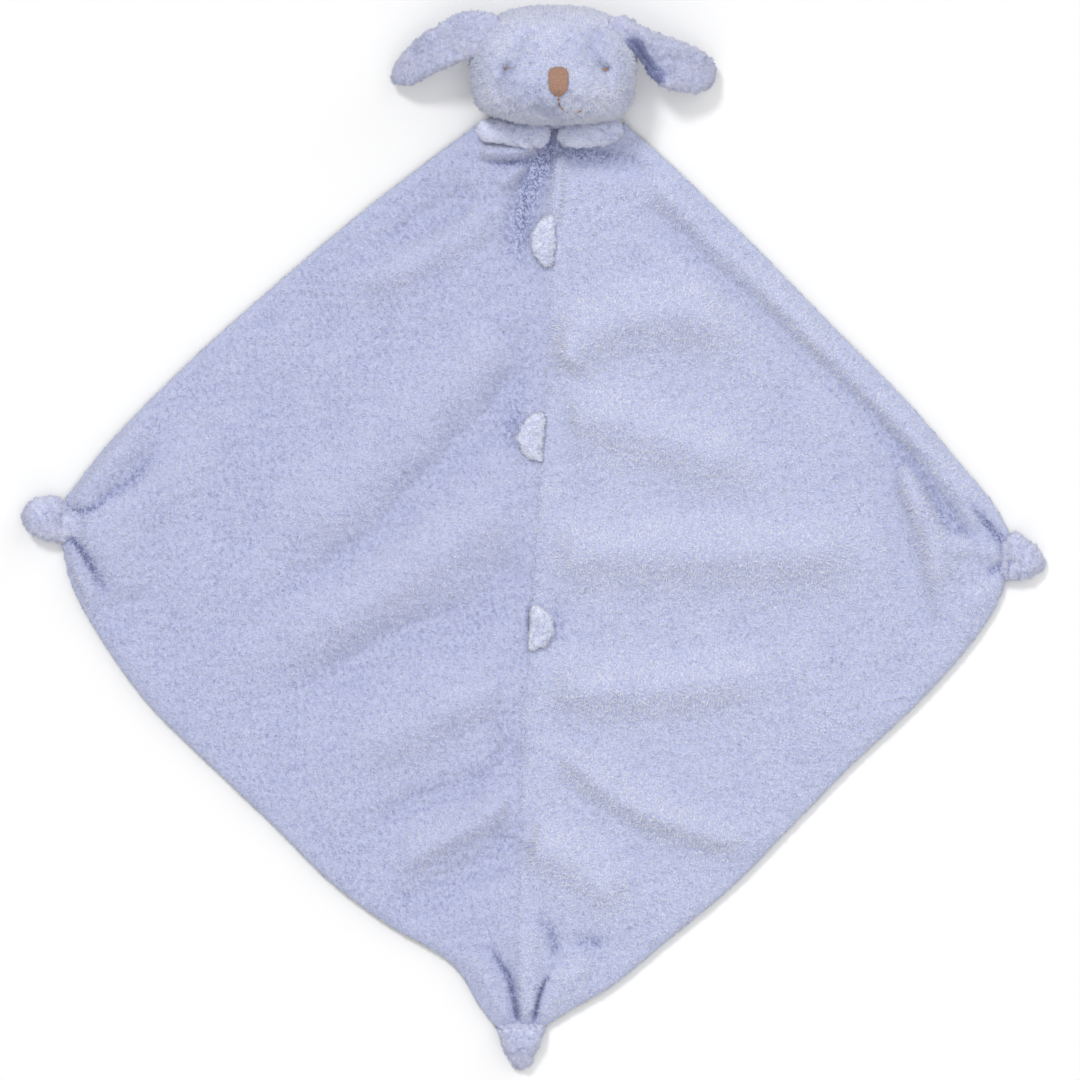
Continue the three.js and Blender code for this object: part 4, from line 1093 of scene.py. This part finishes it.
def ear_skin(side, seed):
    """Cross rows from the root to the tip: they fall to the table, folded in under the root."""
    shape, root = EARS[side], place_of(f"{side}_ear_lift")
    shares = (1 - np.cos(np.linspace(0, math.pi, 60))) / 2
    top, low = (along(spline(from_photo(shape[edge]), 24), shares) for edge in ("upper", "lower"))
    columns = np.sin(np.linspace(-1, 1, 33) * math.pi / 2)
    rows = []
    for share, a, b in zip(shares, top, low):
        centre, reach = (a + b) / 2, (a - b) / 2
        fall = np.clip((share - 0.13) / 0.87, 0, 1)
        z = mix(root[2], EAR_TIP_Z, fall * mix(0.75, 1, fall))
        fold_under = math.exp(-(((share - 0.3) / 0.2) ** 2)) * smooth(0.3 - columns)
        z = np.maximum(z - shape["drop"] * fold_under, EAR_TIP_Z)
        width = max(norm(reach), 1e-6)
        edge = quarter_round((1 - np.abs(columns)) * width, EAR_RIM)
        end = quarter_round((1 - share) * EAR_LENGTH, EAR_TIP)
        fat = EAR_HALF * edge * max(end, 0.05)
        lengthwise = math.sin(math.pi * min(share / 0.75, 1))
        crease = -EAR_CREASE * np.exp(-(((columns - 0.15) / 0.2) ** 2)) * lengthwise
        roll = EAR_ROLL * np.exp(-(((columns - 0.62) / 0.22) ** 2)) * math.sin(math.pi * share)
        xy = centre + columns[:, None] * reach
        over = np.concatenate([xy, (z + fat + (crease + roll) * edge)[:, None]], 1)
        under = np.concatenate([xy, (z - fat)[:, None]], 1)[::-1]
        rows.append(np.concatenate([over, under[1:-1]]))
    obj = loft(f"{side}_ear_plush", rows)
    swell(obj, "ear", seed, EAR_FLOOR)
    return obj


ears = {"left": ear_skin("left", 41), "right": ear_skin("right", 42)}
for side, skin in ears.items():
    root = place_of(f"{side}_ear_lift")
    filled(skin, lambda co: distance_to(co[:, :2], root[:2]) < EAR_SEWN, FILLING_MOVE["ear"])


# Tabs: length, side, how far each reaches out, and where its root is, in millimetres
TABS = {"top": (25, -1, 9.6, -1.0), "middle": (24, -1, 12.2, 0.2), "bottom": (21, 1, 11.2, 0.2)}
TAB_TILT = math.radians(6)
TAB_RIM = 0.3 * MM
TAB_CROWN = 1.9 * MM
TAB_ROUND = 4 * MM


def tab_skin(name):
    """A thin pillow in a half-round outline, tilted up from the seam."""
    length, turn, widest, root = TABS[name]
    at = place_of(f"{name}_tab_flip")
    line = np.array(joints[f"{name}_tab_flip"]["axis"], float)
    line /= norm(line)
    if line[1] < 0:
        line = -line
    flat = np.array([line[1], -line[0], 0]) * turn
    out = flat * math.cos(TAB_TILT) + np.array([0, 0, math.sin(TAB_TILT)])
    face = np.cross(line, out) * turn * -1
    if face[2] < 0:
        face = -face
    rows = []
    columns = (1 - np.cos(np.linspace(0, math.pi, 25))) / 2
    for q in -np.cos(np.linspace(0.05, 0.95, 44) * math.pi):
        bow = max(1 - q * q, 0)
        outer, inner = widest * MM * bow**0.55, root * MM * bow**0.5
        d = mix(inner, outer, columns)
        inside = np.minimum(np.minimum(d - inner, outer - d), (1 - abs(q)) * length * MM / 2)
        fat = TAB_RIM + TAB_CROWN * quarter_round(np.maximum(inside, 0), TAB_ROUND)
        centre = at + line * (q * length * MM / 2) + out * d[:, None]
        half = face * fat[:, None]
        rows.append(np.concatenate([centre + half, (centre - half)[::-1][1:-1]]))
    obj = loft(f"{name}_tab_plush", rows)
    swell(obj, "tab", 51 + length)
    return obj


tabs = {name: tab_skin(name) for name in TABS}


# Corner knots: the cloth runs on through its tie into a filled tip
# Each row: one edge, the other edge, then half the height in millimetres, from inside the blanket to the tip
KNOTS = {
    "left": {
        "rows": [
            [90, 509, 90, 550, 3.2], [82, 510, 82, 545, 3.9], [75, 510, 75, 540, 4.2],
            [69, 508, 69, 538, 4.5], [65, 502, 65, 541, 4.9], [61, 497.3, 61, 543, 5.5],
            [54, 496.3, 54, 541.5, 6.5], [47, 496, 47, 540, 7.2], [40, 497, 40, 538, 7.4],
            [33, 500, 33, 534, 6.8], [27.5, 505, 27.5, 528.5, 5], [24, 511, 24, 523, 2.6],
            [22.8, 515, 22.8, 519, 0.7],
        ],
        "creases": [[(64, 503), (62, 512), (63, 526)]],
    },
    "right": {
        "rows": [
            [978, 548, 978, 568, 1.2], [986, 548, 986, 571, 1.5], [994, 549, 994, 574, 1.9],
            [1001, 545, 1001, 577, 2.8], [1006, 540, 1006, 580, 4.2], [1010, 535.5, 1010, 580.5, 5.2],
            [1017, 533, 1017, 581, 5.6], [1023, 537, 1023, 580, 5.6], [1029, 541.5, 1029, 578.5, 5.3],
            [1035, 547, 1035, 576, 4.7], [1040, 553, 1040, 572, 3.4], [1043.5, 560, 1043.5, 569, 1.8],
            [1045, 563.5, 1045, 566.5, 0.6],
        ],
        "creases": [
            [(1008, 545), (1009, 560), (1008, 578)], [(1012, 559), (1024, 567)], [(1011, 561), (1018, 577)],
        ],
    },
    "bottom": {
        "rows": [
            [516, 1012, 531, 1012, 1.6], [508, 1019, 537, 1019, 1.9], [501, 1024, 543, 1024, 2.9],
            [497.5, 1027, 546, 1027, 4.4], [498, 1030, 545, 1030, 5.4], [500, 1036, 542.5, 1036, 5.8],
            [501.5, 1043, 540.5, 1043, 6], [504.5, 1050, 537.5, 1050, 5.6], [508.5, 1057, 534, 1057, 4.6],
            [510.5, 1062, 532.5, 1062, 3.6], [514, 1065.4, 529.5, 1065.4, 2.4],
            [518, 1067.2, 526, 1067.2, 1.0],
        ],
        "creases": [
            [(504, 1027), (518, 1024), (538, 1025)], [(517, 1034), (515, 1046)], [(505, 1037), (509, 1046)],
        ],
    },
}


KNOT_SIDES = 96
KNOT_INSET = 0.5
KNOT_BASE = 0.35 * MM
PLEAT_DEPTH = 0.3 * MM
PINCH_DEPTH = 0.28 * MM
CREASE = 0.9
KNOT_SEWN = 1.5 * MM


def knot_skin(name):
    """Oval rings through the corner, pleated and pinched where the thread ties it."""
    at = place_of(f"{name}_knot_lift")
    rows = spline(KNOTS[name]["rows"], 5)
    one, other = from_photo(rows[:, :2]), from_photo(rows[:, 2:4])
    middle = (one + other) / 2
    out = middle[-1] - middle[0]
    out = np.append(out / norm(out), 0)
    turn = (np.arange(KNOT_SIDES) + 0.5) / KNOT_SIDES * 2 * math.pi
    rings = []
    for a, b, centre, tall in zip(one, other, middle, rows[:, 4]):
        across = np.append(a - b, 0) / 2
        width = norm(across)
        d = float((centre - at[:2]) @ out[:2]) / MM
        half = max(width - mix(1.0, 0.2, smooth(-d / 6)) * MM, LOWEST_RING)
        height = max(tall - KNOT_INSET, 0.3) * MM
        foot = np.append(centre, height + KNOT_BASE)
        ring = oval(foot, across / width, (0, 0, 1), half, height, KNOT_SIDES, 2.2)
        pleat = PLEAT_DEPTH * math.exp(-((d / 5) ** 2)) * np.cos(turn * 10 + 0.7 * len(name))
        pleat -= PINCH_DEPTH * math.exp(-(((d + 0.3) / 0.9) ** 2))
        away = ring - ring.mean(0)
        ring = ring.mean(0) + away * (1 + pleat / np.maximum(norm(away, axis=1), MM))[:, None]
        ring[:, 2] = np.maximum(ring[:, 2], LOWEST_RING)
        rings.append(ring)
    obj = loft(f"{name}_knot_plush", rings)
    swell(obj, "knot", 61 + len(name))
    co = coords(obj)
    above = vertex_normals(obj)[:, 2] > 0
    for line in KNOTS[name]["creases"]:
        co[above, 2] += dent(co[above][:, :2], line, CREASE, CREASE)
    set_coords(obj, co)
    return obj, at, out


knots = {name: knot_skin(name) for name in KNOTS}
for skin, at, out in knots.values():
    filled(skin, lambda co: (co - at) @ out < KNOT_SEWN, FILLING_MOVE["knot"])


# Light, floor and world
# Each lamp: where it shines to, its strength, and how wide it is in degrees
LAMPS = {
    "window_light": ((0.28, -0.5, -0.8), 1.15, 12),
    "overhead_light": ((0, 0, -1), 0.55, 50),
    "far_light": ((-0.6, -0.5, -0.62), 0.75, 60),
    "near_light": ((0, 0.6, -0.75), 0.8, 80),
}
for name, (toward, energy, spread) in LAMPS.items():
    light = bpy.data.lights.new(name, "SUN")
    light.energy = energy
    light.angle = math.radians(spread)
    linked(name, light).rotation_euler = Vector(toward).to_track_quat("-Z", "Y").to_euler()

world = bpy.data.worlds.new("studio")
world.use_nodes = True
world.node_tree.nodes["Background"].inputs["Color"].default_value = (1, 1, 1, 1)
world.node_tree.nodes["Background"].inputs["Strength"].default_value = 0.25
bpy.context.scene.world = world
bpy.context.scene.view_settings.view_transform = "Standard"

floor_material = principled("paper", (248, 248, 248), 1.0)
floor_material.node_tree.nodes["Principled BSDF"].inputs["Specular IOR Level"].default_value = 0
FLOOR_REACH = 3.0
FLOOR_GAP = 0.2 * MM
corners = [(x * FLOOR_REACH, y * FLOOR_REACH, 0) for x, y in ((-1, -1), (1, -1), (1, 1), (-1, 1))]
floor = object_of("floor", corners, [(0, 1, 2, 3)], floor_material)
floor.location.z = -FLOOR_GAP


# Each pile: how many tufts, their length and half width in millimetres, and their tones
PILES = {
    "left": (46000, 1.7, 0.45, "left"), "right": (46000, 1.7, 0.45, "right"), "rim": (22000, 0.6, 0.4, "rim"),
    "head": (36000, 1.5, 0.42, "head"), "neck": (5000, 0.9, 0.4, "left"), "ear": (14000, 1.4, 0.42, "limb"),
    "paw": (9000, 1.4, 0.42, "paw"), "tab": (3500, 1.3, 0.42, "tab"), "knot": (9000, 1.5, 0.42, "knot"),
}
# Each painted shade of the face: its line on the photograph, its strength and its width in millimetres; a negative
# strength paints light instead, for paler cheeks.
FACE_PAINTED_SHADE_AND_LIGHT = [
    ([(507, 68), (514, 58), (523, 46)], 0.6, 4.5), ([(603, 66), (595, 56), (592, 48), (597, 40)], 1.1, 5.5),
    ([(503, 76), (497, 92)], 0.8, 3.0), ([(512, 80), (524, 100)], 0.7, 7.0),
    ([(558, 112), (558, 126)], 1.1, 4.0), ([(535, 108), (552, 114)], 0.8, 3.0),
    ([(600, 90), (612, 106)], -0.8, 9.0), ([(490, 94), (500, 108)], -0.6, 7.0),
]
# Painted shade where the right ear folds in under its root: its line, how wide it is and how strong.
EAR_FOLD = [(634, 45), (640, 56), (648, 67), (657, 76)]
EAR_FOLD_WIDTH = 4.5 * MM
EAR_FOLD_SHADE = 3.4
# Painted light: how much paler the paws' tufts are painted.
PAW_PAINTED_LIGHT = 0.45
# Painted light on the fold crests and painted shade in the grooves: how strong each is, and the height from which
# crests are painted paler.
CREST_PAINTED_LIGHT = 0.6
GROOVE_SHADE = 1.2
CREST_TONE_Z = BASE_Z + 4 * MM
CREST_TONE_OVER = 3 * MM
# Painted light: how much paler the chin is painted, and where that starts.
CHIN_PAINTED_LIGHT = 0.9
CHIN_TONE_FROM, CHIN_TONE_OVER = 18 * MM, 10 * MM
SHORT_RIM = 4 * MM
RIM_LOW, RIM_HIGH = 0.3 * MM, 2.9 * MM
NECK_GAP = 0.6 * MM


def dress(skin, kind, seed, **style):
    """Stands a pile on a skin, and gives the pile the tones of plush."""
    count, length, base, tones = PILES[kind]
    name = skin.name.replace("_plush", "_pile")
    tufts = pile(name, skin, count, seed, tones, length * MM, base * MM, **style)
    return tufts


def painted_fold_light_and_shade(at, up):
    """Painted light and shade: the tufts are a little paler on the crests of the folds, and dark in the grooves.
    """
    painted_crest_light = CREST_PAINTED_LIGHT * np.clip((at[:, 2] - CREST_TONE_Z) / CREST_TONE_OVER, -1, 1)
    return painted_crest_light - GROOVE_SHADE * groove_depth(at[:, :2]) / MM


def painted_face_shade_and_light(at, up):
    """Painted shade: the tufts are darker where the face is drawn in; painted light makes them paler at the chin
    and cheeks.
    """
    tone = CHIN_PAINTED_LIGHT * smooth((head_centre[1] - CHIN_TONE_FROM - at[:, 1]) / CHIN_TONE_OVER)
    for line, strength, width in FACE_PAINTED_SHADE_AND_LIGHT:
        gap, _ = line_distance(at[:, :2], from_photo(line))
        tone = tone - strength * np.exp(-((gap / (width * MM)) ** 2))
    return tone


def painted_paw_light(at, up):
    """Painted light: the paws' tufts are painted a little paler, against the shade under the head."""
    return np.full(len(at), PAW_PAINTED_LIGHT)


def painted_ear_shade(at, up):
    """Painted shade: the tufts are darkest where the right ear folds in under its root, on its upper side."""
    gap, _ = line_distance(at[:, :2], from_photo(EAR_FOLD))
    return -EAR_FOLD_SHADE * np.exp(-((gap / EAR_FOLD_WIDTH) ** 4)) * smooth(up[:, 2] * 4)


def short_at_rim(at):
    """The tufts get shorter towards the blanket's edge."""
    rim, _ = line_distance(at[:, :2], outline_coarse)
    return 0.45 + 0.55 * smooth(rim / SHORT_RIM)


def facing_up(centres, up):
    return up[:, 2] > 0.02


def on_rim(centres, up):
    z = centres[:, 2]
    return (up[:, 2] > -0.8) & (up[:, 2] < 0.6) & (z > RIM_LOW) & (z < RIM_HIGH)


def clear_of_neck(centres, up):
    return norm(centres[:, 1:] - nod[1:], axis=1) > NOD_RADIUS + NECK_GAP


def flat_reach(skin):
    """How wide and how long a laid sheet is."""
    width, length, _ = (coords(skin).max(0) - coords(skin).min(0)).tolist()
    return width, length


# What each piece rides on and stands for
PILE_SEEDS = {"left": (3, 103), "right": (4, 104)}
for side, skin in front.items():
    tufts = []
    for layer, seed in zip("ab", PILE_SEEDS[side]):
        tufts.append(dress(skin, side, seed, keep=facing_up, nap=painted_fold_light_and_shade, trim=short_at_rim))
        tufts[-1].name = f"front_{side}_pile_{layer}"
    for piece in (skin, *tufts):
        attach(piece, "blanket")
    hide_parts(f"front_{side}_panel")
    flat_reach(skin)
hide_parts("centre_seam_allowance")

rim_pile = dress(back, "rim", 5, keep=on_rim)
for piece in (back, rim_pile):
    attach(piece, "blanket")
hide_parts("back_panel")
flat_reach(back)

head_pile = dress(head, "head", 6, keep=clear_of_neck, nap=painted_face_shade_and_light)
for piece in (head, head_pile, nose, mouth, left_eye, right_eye):
    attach(piece, "head")
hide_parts("head_cover", "head_stuffing")
for piece, node in (
    (nose, "nose_embroidery"), (mouth, "mouth_thread"), (left_eye, "left_eye_thread"),
    (right_eye, "right_eye_thread"),
):
    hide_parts(node)

for seed, (side, skin) in enumerate(paws.items(), 7):
    tufts = dress(skin, "paw", seed, nap=painted_paw_light)
    for piece in (skin, tufts):
        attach(piece, f"{side}_paw")
    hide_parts(f"{side}_paw_cover", f"{side}_paw_stuffing")

neck_pile = dress(neck, "neck", 9)
for piece in (neck, neck_pile):
    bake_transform(piece)
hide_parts("neck_gather")

for seed, (side, skin) in enumerate(ears.items(), 12):
    root = Vector(joints[f"{side}_ear_lift"]["pos_m"])
    axis = joints[f"{side}_ear_lift"]["axis"]
    out = Vector((axis[1], -axis[0], 0)).normalized()
    if (out.x < 0) != (side == "left"):
        out = -out
    tufts = dress(skin, "ear", seed, nap=painted_ear_shade)
    for piece in (skin, tufts):
        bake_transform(piece)
    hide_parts(f"{side}_ear_front", f"{side}_ear_back")

for name, skin in tabs.items():
    tufts = dress(skin, "tab", 14 + len(name))
    for piece in (skin, tufts):
        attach(piece, f"{name}_flap")
    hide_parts(f"{name}_tab")

for name, (skin, at, out) in knots.items():
    tufts = dress(skin, "knot", 24 + len(name))
    for piece in (skin, tufts):
        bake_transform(piece)
    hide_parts(f"{name}_corner_knot", f"{name}_corner_stuffing", f"{name}_corner_gather")
